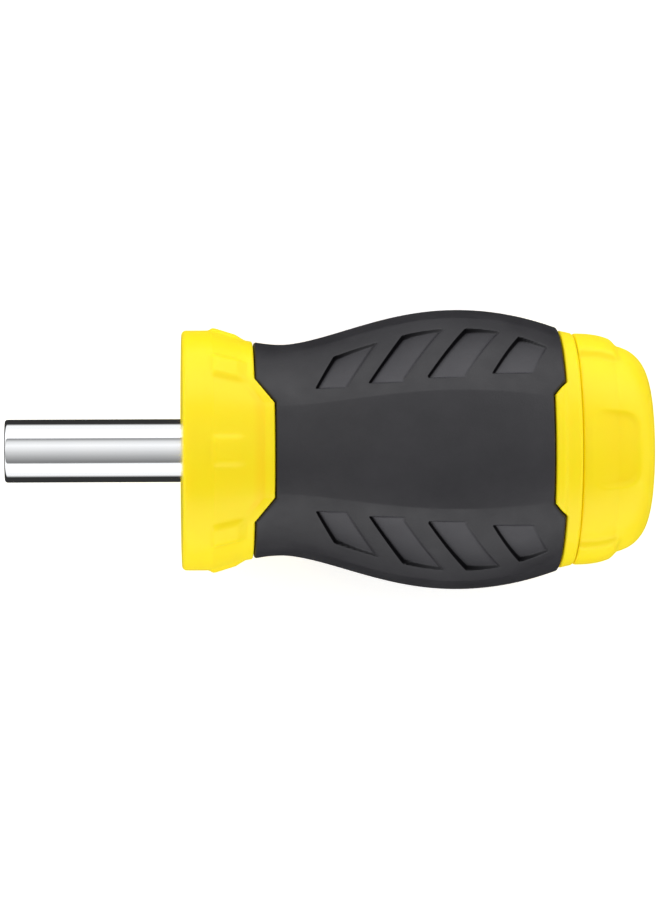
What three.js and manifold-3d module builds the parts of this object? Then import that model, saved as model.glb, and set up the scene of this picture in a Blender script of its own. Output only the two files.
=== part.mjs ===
// A stubby multi-bit screwdriver, lying on its side: millimetres, +Z up.
//
// The tool's axis runs along X. The bit holder points to -X and the end cap to +X.
// Every piece is built in tool coordinates, with x = 0 at the collar's front face
// and the axis at y = z = 0. The exported group then puts the origin at the middle
// of the bottom of the whole tool, where the grip touches the surface it lies on.
//
// Azimuth is measured round the axis from +Z. The two broad panels of the grip face
// +Z and -Z, and the shape is the mirror image of itself across both planes.

import * as THREE from "three";
import { mergeVertices } from "three/addons/utils/BufferGeometryUtils.js";
import Module from "manifold-3d";

const wasm = await Module();
wasm.setup();

// Clearances
const SEAT_GAP = 0.3; // between pieces that rest on, or are moulded round, each other
const SLIDE_GAP = 0.15; // between pieces that slide in each other
const CUT_OVER = 1; // how far a cutting tool runs past the face that it cuts

// Lengths along the axis, from the collar's front face to the end of the cap
const COLLAR_LENGTH = 10.65;
const GRIP_LENGTH = 46.15;
const REAR_RING_LENGTH = 2.2;
const CAP_LENGTH = 11.8;

// Bit holder
const HOLDER_REACH = 26.6; // bare length ahead of the collar
const HOLDER_WALL = 0.94; // at the socket's corners
const HOLDER_CHAMFER = 0.5;
const HOLDER_EMBED = 16; // how far the tube reaches into the handle
const SOCKET_CLEARANCE = 0.125; // round a bit
const SOCKET_DEPTH = 12.5;
const MAGNET_LENGTH = 3;
const SNAP_SETBACK = 4; // from the mouth of the socket to the snap ring's groove
const SNAP_WIRE = 0.8;
const SNAP_DEPTH = 0.35; // how far the groove is cut beyond the socket's corners
const TANG_LENGTH = 6;
const TANG_SPAN = 13;
const TANG_THICKNESS = 3;

// Bits
const BIT_COUNT = 6;
const BIT_FLATS = 6.35; // the standard quarter inch across the flats
const BIT_LENGTH = 25;
const BIT_HEX_LENGTH = 16;
const BIT_NECK_RADIUS = 2.6;
const BIT_NECK_LENGTH = 4;
const BIT_NOTCH_SETBACK = 8; // from the hexagonal end to the notches in its corners
const POCKET_RIB = 1.05; // between neighbouring pockets of the carrier
const BIT_PROUD = 2.5; // how far the tips stand out of the handle once the cap is off
const POCKET_DEPTH = 11;
const CARRIER_FLOOR = 1.6;
const CARRIER_EYE_RADIUS = 2.6;

// Handle
const COLLAR_RADIUS = 18.1;
const COLLAR_RIM_LENGTH = 4.5; // the straight stretch behind the front face
const COLLAR_CONE_END = 7.85; // where the cone behind the rim meets the lip
const COLLAR_LIP_RADIUS = 16.7;
const COLLAR_WAIST_RADIUS = 16.4; // where the collar's lip meets the grip
const COLLAR_EDGE = 0.5;
const LUG_COUNT = 8;
const LUG_RADIUS = 18.5;
const LUG_REAR_RADIUS = 17.65;
const LUG_START = 4.4;
const LUG_LENGTH = 3.9; // of the lug's top
const LUG_HEEL = 1.6; // of the slope behind it
const LUG_WIDTH = 4.1;
const WING_LENGTH = 2.95; // how far each wing reaches into the grip
const WING_TIP_HALF_WIDTH = 7.1;
const WING_ROOT_HALF_WIDTH = 10.8;
const TONGUE_LENGTH = 1.9;
const TONGUE_TIP_HALF_WIDTH = 7.8;
const TONGUE_ROOT_HALF_WIDTH = 10.2;
const MOUTH_WALL = 3.775; // round the bit chamber, where the cap meets the handle
const REAR_FLARE = 0.8; // how much wider the grip's end is than the mouth of the handle
const REAR_STEP = 0.45; // how far the ring behind the grip lies below the grip's surface
const WEB_THICKNESS = 3; // between the bit chamber and the end of the shank

// Grip
const WAIST_RADIUS = 15.9;
const WAIST_SETBACK = 4.5; // behind the collar
const BELLY_RADIUS = 21.1;
const BELLY_SETBACK = 30.9; // behind the collar
const BELLY_RISE = 0.8; // under 1, the grip swells sooner behind its waist
const RUBBER_THICKNESS = 2.4;
const LOBE = 0.05; // how far the corners between the panels stand out, as a share
const RECESS_COUNT = 4;
const RECESS_START = 8.85; // behind the collar
const RECESS_PITCH = 8.6;
const RECESS_LENGTH = 5.2;
const RECESS_LEAN = 4.4;
const RECESS_LOW_AZIMUTH = 31.5;
const RECESS_HIGH_AZIMUTH = 53.5;
const RECESS_DEPTH = 0.8;

// End cap
const CAP_WALL = 2.5;
const CAP_SHOULDER_LENGTH = 5.6; // length of the raised grip pads
const CAP_PAD_HEIGHT = 0.9;
const CAP_PAD_HALF_ANGLE = 33;
const CAP_TAPER = 1; // how much narrower the cap's shoulder is than its front
const CAP_DOME_TAPER = 1.4; // how much narrower the dome's side is at its end than at the shoulder
const CAP_DOME_POWER = 4; // 2 gives the dome the corner of an ellipse, more makes it squarer
const CAP_END_RADIUS = 3.5; // of the flat in the middle of the cap's end
const SPIGOT_LENGTH = 7;
const SPIGOT_WALL = 1.8;
const SEAL_SETBACK = 3.4; // from the seam to the middle of the seal
const SEAL_THICKNESS = 1.6;
const THUMB_LENGTH = 7.4;
const THUMB_WIDTH = 12;
const THUMB_CORNER = 2.4;
const THUMB_DEPTH = 0.45;
const THUMB_SETBACK = 1.4; // from the seam to the recess

// Facets
const ROUND = 40; // a multiple of four, so that a quarter turn maps every ring onto itself
const SMALL_ROUND = 24;
const BIT_ROUND = 18;
const SURFACE_STEPS = [2, 7, 5]; // collar to waist, waist to belly, belly to rear
const HIDDEN_STEPS = [1, 3, 2];

// Places and sizes that follow from the ones above
const GRIP_START = COLLAR_LENGTH;
const GRIP_END = GRIP_START + GRIP_LENGTH;
const SEAM_X = GRIP_END + REAR_RING_LENGTH;
const CAP_END = SEAM_X + CAP_LENGTH;
const HEX_CORNER = 2 / Math.sqrt(3); // corner radius of a hexagon for each unit of flat radius
const SOCKET_FLATS = BIT_FLATS + 2 * SOCKET_CLEARANCE;
const SOCKET_CORNER = (SOCKET_FLATS / 2) * HEX_CORNER;
const HOLDER_RADIUS = SOCKET_CORNER + HOLDER_WALL;
const MAGNET_RADIUS = SOCKET_FLATS / 2 - 2 * SEAT_GAP;
const BIT_CORNER = (BIT_FLATS / 2) * HEX_CORNER;
const POCKET_FLATS = BIT_FLATS + 2 * SEAT_GAP;
const BIT_CIRCLE_RADIUS = (POCKET_FLATS + POCKET_RIB) / (2 * Math.sin(Math.PI / BIT_COUNT));
const SHANK_FLATS = SOCKET_FLATS - 2 * SEAT_GAP;
const BITS_OUTER = Math.hypot(BIT_CIRCLE_RADIUS + BIT_FLATS / 2, BIT_CORNER / 2);
const SPIGOT_BORE = BITS_OUTER + SEAT_GAP;
const SPIGOT_RADIUS = SPIGOT_BORE + SPIGOT_WALL;
const CHAMBER_RADIUS = SPIGOT_RADIUS + SEAT_GAP;
const CARRIER_RADIUS = CHAMBER_RADIUS - SEAT_GAP;
const SEAM_RADIUS = CHAMBER_RADIUS + MOUTH_WALL;
const REAR_RADIUS = SEAM_RADIUS + REAR_FLARE;
const CAP_FRONT_RADIUS = SEAM_RADIUS - CAP_PAD_HEIGHT;
const CAP_SHOULDER_RADIUS = CAP_FRONT_RADIUS - CAP_TAPER;
const CHAMBER_START = SEAM_X + BIT_PROUD - BIT_LENGTH - CARRIER_FLOOR - 2 * SEAT_GAP;
const CARRIER_START = CHAMBER_START + SEAT_GAP;
const BIT_START = CARRIER_START + CARRIER_FLOOR + SEAT_GAP;
const CARRIER_END = CARRIER_START + CARRIER_FLOOR + POCKET_DEPTH;
const SHANK_END = CHAMBER_START - WEB_THICKNESS;
const TANG_START = SHANK_END - TANG_LENGTH;
const SHANK_HOLE_RADIUS = (SHANK_FLATS / 2) * HEX_CORNER + SEAT_GAP;
const MAGNET_START = -HOLDER_REACH + SOCKET_DEPTH;
const SHANK_START = MAGNET_START + MAGNET_LENGTH + SEAT_GAP;
const SEAL_X = SEAM_X - SEAL_SETBACK;
const TOOL_START = -HOLDER_REACH;
const MIDDLE_X = (TOOL_START + CAP_END) / 2;

// ---------------------------------------------------------------- helpers

function materialOf(color, roughness, metalness) {
  return new THREE.MeshStandardMaterial({ color, roughness, metalness });
}

// Turns a closed three.js geometry into a solid that can be joined and cut.
function solidOf(geometry) {
  const bare = geometry.index ? geometry.toNonIndexed() : geometry.clone();
  bare.deleteAttribute("normal");
  bare.deleteAttribute("uv");
  const merged = mergeVertices(bare, 1e-4);
  return new wasm.Manifold(new wasm.Mesh({
    numProp: 3,
    vertProperties: merged.attributes.position.array,
    triVerts: new Uint32Array(merged.index.array),
  }));
}

// Gives a solid back as a named mesh.
function nodeOf(name, solid, material) {
  const mesh = solid.getMesh();
  const geometry = new THREE.BufferGeometry();
  geometry.setAttribute("position", new THREE.BufferAttribute(mesh.vertProperties, 3));
  geometry.setIndex(new THREE.BufferAttribute(mesh.triVerts, 1));
  geometry.computeVertexNormals();
  const node = new THREE.Mesh(geometry, material);
  node.name = name;
  return node;
}

// A profile of [x, radius] points turned round the tool's axis. It starts and ends on
// the axis, or closes on itself, and runs outwards first and then towards +X.
function turnedGeometry(profile, segments = ROUND) {
  const points = profile.map(([x, radius]) => new THREE.Vector2(radius, x));
  return new THREE.LatheGeometry(points, segments).rotateZ(-Math.PI / 2);
}

function turned(profile, segments = ROUND) {
  return solidOf(turnedGeometry(profile, segments));
}

function rod(start, end, radius, segments = SMALL_ROUND) {
  return turned([[start, 0], [start, radius], [end, radius], [end, 0]], segments);
}

function tube(start, end, inner, outer, segments = SMALL_ROUND) {
  const profile = [[start, inner], [start, outer], [end, outer], [end, inner]];
  return turned([...profile, profile[0]], segments);
}

// A hexagonal bar along X with flats facing +Y and -Y.
function hexBar(start, end, flats) {
  const corner = (flats / 2) * HEX_CORNER;
  const bar = new THREE.CylinderGeometry(corner, corner, end - start, 6);
  return solidOf(bar.rotateZ(-Math.PI / 2).translate((start + end) / 2, 0, 0));
}

function block(x, y, z, width, depth, height) {
  return solidOf(new THREE.BoxGeometry(width, depth, height).translate(x, y, z));
}

function turnedAboutAxis(geometry, degrees) {
  return geometry.clone().rotateX(THREE.MathUtils.degToRad(degrees));
}

function joined(solids) {
  return solids.reduce((whole, solid) => whole.add(solid));
}

// A trapezoid in the plane of X and Y, drawn right through the tool along Z.
function trapezoidPrism(rootX, tipX, rootHalf, tipHalf, height) {
  const shape = new THREE.Shape();
  shape.moveTo(rootX, -rootHalf);
  shape.lineTo(tipX, -tipHalf);
  shape.lineTo(tipX, tipHalf);
  shape.lineTo(rootX, rootHalf);
  shape.closePath();
  const prism = new THREE.ExtrudeGeometry(shape, { depth: height, bevelEnabled: false });
  return solidOf(prism.translate(0, 0, -height / 2));
}

// ---------------------------------------------------------------- grip surface

// The grip's outline in three stretches: from the collar's edge in to a waist on a
// parabola, out to the belly on a half wave, and in to the rear end on a parabola.
function gripProfile(inset, steps) {
  const waistX = GRIP_START + WAIST_SETBACK;
  const bellyX = GRIP_START + BELLY_SETBACK;
  const wave = (t) => (1 - Math.cos(Math.PI * t)) / 2;
  const stretches = [
    [GRIP_START, waistX, COLLAR_WAIST_RADIUS, WAIST_RADIUS, (t) => t * (2 - t)],
    [waistX, bellyX, WAIST_RADIUS, BELLY_RADIUS, (t) => wave(t ** BELLY_RISE)],
    [bellyX, GRIP_END, BELLY_RADIUS, REAR_RADIUS, (t) => t * t],
  ];
  const outline = [[GRIP_START, COLLAR_WAIST_RADIUS - inset]];
  stretches.forEach(([x0, x1, r0, r1, ease], i) => {
    for (let k = 1; k <= steps[i]; k += 1) {
      const t = k / steps[i];
      outline.push([x0 + (x1 - x0) * t, r0 + (r1 - r0) * ease(t) - inset]);
    }
  });
  return outline;
}

// A body of the grip's shape, sunk by inset below its surface. The corners between
// the panels stand out by LOBE where the grip is thickest, and not at all at its ends.
function gripBody(inset) {
  const outline = gripProfile(inset, SURFACE_STEPS);
  const start = outline[0][0];
  const end = outline[outline.length - 1][0];
  const geometry = turnedGeometry([[start, 0], ...outline, [end, 0]]);
  const position = geometry.attributes.position;
  for (let i = 0; i < position.count; i += 1) {
    const along = (position.getX(i) - start) / (end - start);
    const azimuth = Math.atan2(position.getY(i), position.getZ(i));
    const swell = Math.sin(Math.PI * Math.min(Math.max(along, 0), 1));
    const factor = 1 + LOBE * swell * (1 - Math.cos(4 * azimuth)) / 2;
    position.setY(i, position.getY(i) * factor);
    position.setZ(i, position.getZ(i) * factor);
  }
  return solidOf(geometry);
}

function wings(gap) {
  const rootX = GRIP_START - CUT_OVER;
  const spread = (WING_ROOT_HALF_WIDTH - WING_TIP_HALF_WIDTH) / WING_LENGTH;
  const rootHalf = WING_ROOT_HALF_WIDTH + spread * CUT_OVER + gap;
  const tipX = GRIP_START + WING_LENGTH + gap;
  return trapezoidPrism(rootX, tipX, rootHalf, WING_TIP_HALF_WIDTH + gap / 2, 4 * COLLAR_RADIUS);
}

function tongues(gap) {
  const rootX = GRIP_END + CUT_OVER;
  const spread = (TONGUE_ROOT_HALF_WIDTH - TONGUE_TIP_HALF_WIDTH) / TONGUE_LENGTH;
  const rootHalf = TONGUE_ROOT_HALF_WIDTH + spread * CUT_OVER + gap;
  const tipX = GRIP_END - TONGUE_LENGTH - gap;
  const tipHalf = TONGUE_TIP_HALF_WIDTH + gap / 2;
  // The root is the far end here, so the outline runs the other way round.
  return trapezoidPrism(tipX, rootX, tipHalf, rootHalf, 4 * COLLAR_RADIUS);
}

// Slanted prisms that stand radially between the panels, four to a corner.
function recessTools() {
  const middle = (RECESS_LOW_AZIMUTH + RECESS_HIGH_AZIMUTH) / 2;
  const half = THREE.MathUtils.degToRad(RECESS_HIGH_AZIMUTH - RECESS_LOW_AZIMUTH) / 2;
  const reach = BELLY_RADIUS * half;
  const tools = [];
  for (let i = 0; i < RECESS_COUNT; i += 1) {
    const start = GRIP_START + RECESS_START + i * RECESS_PITCH;
    const outline = new THREE.Shape();
    outline.moveTo(start, -reach);
    outline.lineTo(start + RECESS_LENGTH, -reach);
    outline.lineTo(start + RECESS_LENGTH + RECESS_LEAN, reach);
    outline.lineTo(start + RECESS_LEAN, reach);
    outline.closePath();
    const prism = new THREE.ExtrudeGeometry(outline, { depth: 2 * BELLY_RADIUS, bevelEnabled: false });
    const mirrored = prism.clone().scale(1, -1, 1);
    for (const side of [0, 180]) {
      tools.push(solidOf(turnedAboutAxis(prism, side - middle)));
      tools.push(solidOf(flipped(turnedAboutAxis(mirrored, side + middle))));
    }
  }
  return joined(tools);
}

// Turns the faces of a mirrored geometry right side out again.
function flipped(geometry) {
  const loose = geometry.index ? geometry.toNonIndexed() : geometry;
  const position = loose.attributes.position;
  const a = new THREE.Vector3();
  const b = new THREE.Vector3();
  for (let i = 0; i < position.count; i += 3) {
    a.fromBufferAttribute(position, i + 1);
    b.fromBufferAttribute(position, i + 2);
    position.setXYZ(i + 1, b.x, b.y, b.z);
    position.setXYZ(i + 2, a.x, a.y, a.z);
  }
  return loose;
}

// ---------------------------------------------------------------- handle

// One lug: a block with a sloping top and a steeper end, standing on the collar's cone
// at azimuth 0.
function lugGeometry() {
  const side = new THREE.Shape();
  const end = LUG_START + LUG_LENGTH;
  const foot = COLLAR_WAIST_RADIUS - CUT_OVER;
  side.moveTo(LUG_START, foot);
  side.lineTo(end + LUG_HEEL, foot);
  side.lineTo(end + LUG_HEEL, COLLAR_WAIST_RADIUS);
  side.lineTo(end, LUG_REAR_RADIUS);
  side.lineTo(LUG_START, LUG_RADIUS);
  side.closePath();
  const lug = new THREE.ExtrudeGeometry(side, { depth: LUG_WIDTH, bevelEnabled: false });
  return lug.translate(0, 0, -LUG_WIDTH / 2).rotateX(Math.PI / 2);
}

function handleCore() {
  const coreOutline = gripProfile(RUBBER_THICKNESS + SEAT_GAP, HIDDEN_STEPS);
  const collar = [
    [0, 0],
    [0, COLLAR_RADIUS - COLLAR_EDGE],
    [COLLAR_EDGE, COLLAR_RADIUS],
    [COLLAR_RIM_LENGTH, COLLAR_RADIUS],
    [COLLAR_CONE_END, COLLAR_LIP_RADIUS],
    [COLLAR_LENGTH - SEAT_GAP, COLLAR_WAIST_RADIUS],
  ];
  const rearRing = [
    [GRIP_END + SEAT_GAP, REAR_RADIUS - REAR_STEP],
    [SEAM_X, SEAM_RADIUS],
    [SEAM_X, 0],
  ];
  const first = coreOutline[0][1];
  const last = coreOutline[coreOutline.length - 1][1];
  const neck = [[COLLAR_LENGTH - SEAT_GAP, first], ...coreOutline.slice(1, -1), [GRIP_END + SEAT_GAP, last]];
  let core = turned([...collar, ...neck, ...rearRing]);

  const lug = lugGeometry();
  for (let i = 0; i < LUG_COUNT; i += 1) {
    core = core.add(solidOf(turnedAboutAxis(lug, (360 / LUG_COUNT) * i)));
  }

  const shell = gripBody(0);
  core = core.add(shell.intersect(wings(0)));
  core = core.add(shell.intersect(tongues(0)));

  const holderHole = rod(-CUT_OVER, HOLDER_EMBED + SEAT_GAP, HOLDER_RADIUS + SEAT_GAP);
  const slotSpan = TANG_SPAN + 2 * SEAT_GAP;
  const slotThickness = TANG_THICKNESS + 2 * SEAT_GAP;
  const slotStart = TANG_START - SEAT_GAP;
  const slotLength = TANG_LENGTH + 2 * SEAT_GAP;
  const slot = block(slotStart + slotLength / 2, 0, 0, slotLength, slotSpan, slotThickness);
  const shankHole = rod(HOLDER_EMBED - CUT_OVER, SHANK_END + SEAT_GAP, SHANK_HOLE_RADIUS);
  const chamber = rod(CHAMBER_START, SEAM_X + CUT_OVER, CHAMBER_RADIUS, ROUND);
  const grooveHalf = SEAL_THICKNESS / 2 + SLIDE_GAP;
  const groove = rod(SEAL_X - grooveHalf, SEAL_X + grooveHalf, CHAMBER_RADIUS + SEAL_THICKNESS / 2, ROUND);
  return core.subtract(joined([holderHole, slot, shankHole, chamber, groove]));
}

function gripSleeve() {
  const inner = gripProfile(RUBBER_THICKNESS, HIDDEN_STEPS);
  const start = inner[0];
  const end = inner[inner.length - 1];
  const bore = turned([
    [start[0] - CUT_OVER, 0],
    [start[0] - CUT_OVER, start[1]],
    ...inner,
    [end[0] + CUT_OVER, end[1]],
    [end[0] + CUT_OVER, 0],
  ]);
  const floor = gripBody(RECESS_DEPTH);
  const recesses = recessTools().subtract(floor);
  return gripBody(0).subtract(joined([bore, recesses, wings(SEAT_GAP), tongues(SEAT_GAP)]));
}

// ---------------------------------------------------------------- bit holder

function holderSleeve() {
  const outer = turned([
    [TOOL_START, 0],
    [TOOL_START, HOLDER_RADIUS - HOLDER_CHAMFER],
    [TOOL_START + HOLDER_CHAMFER, HOLDER_RADIUS],
    [HOLDER_EMBED, HOLDER_RADIUS],
    [HOLDER_EMBED, 0],
  ], ROUND);
  const socket = hexBar(TOOL_START - CUT_OVER, HOLDER_EMBED + CUT_OVER, SOCKET_FLATS);
  const grooveStart = TOOL_START + SNAP_SETBACK;
  const groove = rod(grooveStart, grooveStart + SNAP_WIRE + 2 * SLIDE_GAP, SOCKET_CORNER + SNAP_DEPTH);
  return outer.subtract(joined([socket, groove]));
}

// An open ring of wire that stands in its groove, clear of the socket's flats.
function socketSnapRing() {
  const start = TOOL_START + SNAP_SETBACK + SLIDE_GAP;
  const outer = SOCKET_CORNER + SNAP_DEPTH - SLIDE_GAP;
  const ring = tube(start, start + SNAP_WIRE, BIT_CORNER - 0.2, outer);
  const split = block(start, 0, -outer, 4 * SNAP_WIRE, 2, 2 * SNAP_WIRE);
  return ring.subtract(split);
}

function socketMagnet() {
  return rod(MAGNET_START, MAGNET_START + MAGNET_LENGTH, MAGNET_RADIUS);
}

function holderShank() {
  const bar = hexBar(SHANK_START, SHANK_END, SHANK_FLATS);
  const tang = block(SHANK_END - TANG_LENGTH / 2, 0, 0, TANG_LENGTH, TANG_SPAN, TANG_THICKNESS);
  return bar.add(tang);
}

// ---------------------------------------------------------------- bits

function bitCarrier() {
  const body = rod(CARRIER_START, CARRIER_END, CARRIER_RADIUS, ROUND);
  const pocket = hexBar(CARRIER_START + CARRIER_FLOOR, CARRIER_END + CUT_OVER, POCKET_FLATS);
  const eye = rod(CARRIER_START - CUT_OVER, CARRIER_END + CUT_OVER, CARRIER_EYE_RADIUS);
  const pockets = [];
  for (let i = 0; i < BIT_COUNT; i += 1) {
    const azimuth = (360 / BIT_COUNT) * i;
    pockets.push(pocket.translate([0, BIT_CIRCLE_RADIUS, 0]).rotate([azimuth, 0, 0]));
  }
  return body.subtract(joined([...pockets, eye]));
}

// The hexagonal end, a turned neck and the stock of the tip, with the corners notched.
function bitBlank(tipLength, tipRadius) {
  const hexEnd = BIT_START + BIT_HEX_LENGTH;
  const neckEnd = hexEnd + BIT_NECK_LENGTH;
  const shoulder = BIT_NECK_RADIUS * 0.35;
  const bitEnd = BIT_START + BIT_LENGTH;
  const envelope = turned([
    [BIT_START, 0],
    [BIT_START, BIT_FLATS / 2],
    [BIT_START + 0.6, BIT_CORNER + 0.01],
    [hexEnd, BIT_CORNER + 0.01],
    [hexEnd + shoulder, BIT_NECK_RADIUS],
    [neckEnd, BIT_NECK_RADIUS],
    [bitEnd - tipLength, tipRadius],
    [bitEnd, tipRadius],
    [bitEnd, 0],
  ], BIT_ROUND);
  const notch = tube(
    BIT_START + BIT_NOTCH_SETBACK,
    BIT_START + BIT_NOTCH_SETBACK + 1.6,
    BIT_FLATS / 2 + 0.12,
    BIT_CORNER + 1,
    BIT_ROUND,
  );
  const bar = hexBar(BIT_START, bitEnd, BIT_FLATS).intersect(envelope);
  return bar.subtract(notch);
}

// A flat blade of the given thickness and width.
function slottedBit(thickness, width) {
  const length = 5;
  const blank = bitBlank(length, width / 2);
  const end = BIT_START + BIT_LENGTH;
  const side = new THREE.Shape();
  side.moveTo(end - length - 1, BIT_CORNER);
  side.lineTo(end - length / 2, thickness / 2);
  side.lineTo(end + CUT_OVER, thickness / 2);
  side.lineTo(end + CUT_OVER, BIT_CORNER);
  side.closePath();
  const wedge = new THREE.ExtrudeGeometry(side, { depth: 4 * BIT_CORNER, bevelEnabled: false });
  const upper = wedge.translate(0, 0, -2 * BIT_CORNER);
  const lower = turnedAboutAxis(upper, 180);
  return blank.subtract(solidOf(upper)).subtract(solidOf(lower));
}

// Four flutes cut towards a blunt point.
function crossBit(tipRadius, point) {
  const length = 4.5;
  const end = BIT_START + BIT_LENGTH;
  const cone = turned([
    [BIT_START - CUT_OVER, 0],
    [BIT_START - CUT_OVER, 2 * BIT_CORNER],
    [end - length, 2 * BIT_CORNER],
    [end - length + 0.01, tipRadius],
    [end - 1.2, tipRadius * 0.62],
    [end, point],
    [end, 0],
  ], BIT_ROUND);
  let bit = bitBlank(length, tipRadius).intersect(cone);
  const flute = new THREE.BoxGeometry(2 * length, tipRadius, tipRadius);
  const flutePlace = flute.rotateX(Math.PI / 4).rotateZ(-0.16);
  for (let i = 0; i < 4; i += 1) {
    const lifted = flutePlace.clone().translate(end + 0.2, tipRadius * 1.02, 0);
    bit = bit.subtract(solidOf(turnedAboutAxis(lifted, 90 * i + 45)));
  }
  return bit;
}

// A tip of four flats, very slightly tapered.
function squareBit(side) {
  const length = 5;
  const end = BIT_START + BIT_LENGTH;
  const blank = bitBlank(length, BIT_NECK_RADIUS);
  const stock = rod(BIT_START - CUT_OVER, end - length, 2 * BIT_CORNER, BIT_ROUND);
  const corner = side / Math.SQRT2;
  const tip = new THREE.CylinderGeometry(corner * 0.94, corner, length + 1, 4, 1);
  const tipSolid = solidOf(tip.rotateZ(-Math.PI / 2).translate(end - length / 2 - 0.5, 0, 0));
  return blank.intersect(stock.add(tipSolid));
}

// ---------------------------------------------------------------- end cap

// A rounded rectangle through the cap, drawn in the plane of X and Y.
function thumbPrism() {
  const start = SEAM_X + THUMB_SETBACK;
  const end = start + THUMB_LENGTH;
  const half = THUMB_WIDTH / 2;
  const shape = new THREE.Shape();
  shape.moveTo(start + THUMB_CORNER, -half);
  shape.lineTo(end - THUMB_CORNER, -half);
  shape.quadraticCurveTo(end, -half, end, -half + THUMB_CORNER);
  shape.lineTo(end, half - THUMB_CORNER);
  shape.quadraticCurveTo(end, half, end - THUMB_CORNER, half);
  shape.lineTo(start + THUMB_CORNER, half);
  shape.quadraticCurveTo(start, half, start, half - THUMB_CORNER);
  shape.lineTo(start, -half + THUMB_CORNER);
  shape.quadraticCurveTo(start, -half, start + THUMB_CORNER, -half);
  const options = { depth: 4 * SEAM_RADIUS, bevelEnabled: false, curveSegments: 4 };
  return solidOf(new THREE.ExtrudeGeometry(shape, options).translate(0, 0, -2 * SEAM_RADIUS));
}

// The cap's outside, sunk by inset below its surface: a slight cone as far as the
// shoulder, then a squarer kind of quarter ellipse in to the flat end.
function capDome(inset) {
  const start = SEAM_X + SEAT_GAP;
  const shoulder = SEAM_X + CAP_SHOULDER_LENGTH;
  const dome = CAP_END - inset - shoulder;
  const outline = [[start, 0], [start, CAP_FRONT_RADIUS - inset]];
  const steps = 7;
  for (let i = 0; i <= steps; i += 1) {
    const angle = (Math.PI / 2) * (i / steps);
    const along = Math.sin(angle) ** (2 / CAP_DOME_POWER);
    const across = Math.cos(angle) ** (2 / CAP_DOME_POWER);
    const side = CAP_SHOULDER_RADIUS - CAP_DOME_TAPER * along;
    const radius = CAP_END_RADIUS + (side - CAP_END_RADIUS) * across;
    outline.push([shoulder + dome * along, radius - inset]);
  }
  return turned([...outline, [CAP_END - inset, 0]]);
}

// A raised pad over the cap's side: a sector of a slightly larger ring.
function capPads() {
  const start = SEAM_X + SEAT_GAP;
  const end = SEAM_X + CAP_SHOULDER_LENGTH;
  const height = CAP_PAD_HEIGHT;
  const ring = turned([
    [start, 0],
    [start, CAP_FRONT_RADIUS + height],
    [end, CAP_SHOULDER_RADIUS + height],
    [end, 0],
  ]);
  const reach = 2 * SEAM_RADIUS;
  const spread = reach * Math.tan(THREE.MathUtils.degToRad(CAP_PAD_HALF_ANGLE));
  const sector = new THREE.Shape();
  sector.moveTo(0, 0);
  sector.lineTo(-spread, reach);
  sector.lineTo(spread, reach);
  sector.closePath();
  const wedge = new THREE.ExtrudeGeometry(sector, { depth: CAP_LENGTH, bevelEnabled: false });
  const laid = wedge.rotateY(Math.PI / 2).translate(start, 0, 0);
  const both = solidOf(laid).add(solidOf(turnedAboutAxis(laid, 180)));
  return ring.intersect(both);
}

function endCap() {
  const outside = capDome(0).add(capPads());
  const thumbs = thumbPrism().subtract(capDome(THUMB_DEPTH));
  const spigot = rod(SEAM_X - SPIGOT_LENGTH, SEAM_X + CAP_WALL, SPIGOT_RADIUS, ROUND);
  const hollow = rod(SEAM_X - SPIGOT_LENGTH - CUT_OVER, CAP_END - 2 * CAP_WALL, SPIGOT_BORE, ROUND);
  return outside.subtract(thumbs).add(spigot).subtract(hollow);
}

function capSeal() {
  const half = SEAL_THICKNESS / 2;
  const outer = CHAMBER_RADIUS + half - SLIDE_GAP;
  return tube(SEAL_X - half, SEAL_X + half, SPIGOT_RADIUS + SLIDE_GAP, outer, ROUND);
}

// ---------------------------------------------------------------- assembly

const yellow = () => materialOf(0xfde725, 0.42, 0);
const rubber = () => materialOf(0x3c3a40, 0.8, 0);
const chrome = () => materialOf(0xd8dadc, 0.12, 1);
const steel = () => materialOf(0x9a9ca0, 0.35, 1);
const darkSteel = () => materialOf(0x5f6164, 0.4, 1);

const tool = new THREE.Group();
tool.add(nodeOf("handle_core", handleCore(), yellow()));
tool.add(nodeOf("grip_sleeve", gripSleeve(), rubber()));
tool.add(nodeOf("holder_sleeve", holderSleeve(), chrome()));
tool.add(nodeOf("holder_shank", holderShank(), steel()));
tool.add(nodeOf("socket_magnet", socketMagnet(), darkSteel()));
tool.add(nodeOf("socket_snap_ring", socketSnapRing(), steel()));
tool.add(nodeOf("bit_carrier", bitCarrier(), materialOf(0x2a2a2c, 0.6, 0)));
tool.add(nodeOf("cap_seal", capSeal(), materialOf(0x1c1c1e, 0.7, 0)));
tool.add(nodeOf("end_cap", endCap(), yellow()));

// The bits stand in the carrier's pockets with their tips towards the cap.
const bits = {
  bit_slotted_small: slottedBit(0.8, 4),
  bit_slotted_large: slottedBit(1.2, 5.2),
  bit_cross_small: crossBit(2, 0.6),
  bit_cross_large: crossBit(2.5, 0.9),
  bit_square_small: squareBit(2.2),
  bit_square_large: squareBit(2.8),
};
Object.entries(bits).forEach(([name, solid], i) => {
  const node = nodeOf(name, solid.translate([0, BIT_CIRCLE_RADIUS, 0]), darkSteel());
  const spoke = new THREE.Group();
  spoke.rotation.x = (2 * Math.PI * i) / BIT_COUNT;
  spoke.add(node);
  tool.add(spoke);
});

// The grip's lower panel touches z = 0, and the tool's middle is over the origin.
tool.position.set(-MIDDLE_X, 0, BELLY_RADIUS);

export default tool;
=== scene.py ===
"""The finished look of a stubby multi-bit screwdriver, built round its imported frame.

The tool lies along X with its bit holder towards -X. Sizes are in metres. Along the
tool, distances are measured from the collar's front face towards the end cap. Round
it, azimuth is measured from +Z, which the grip's upper panel faces.
"""

import math

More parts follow.
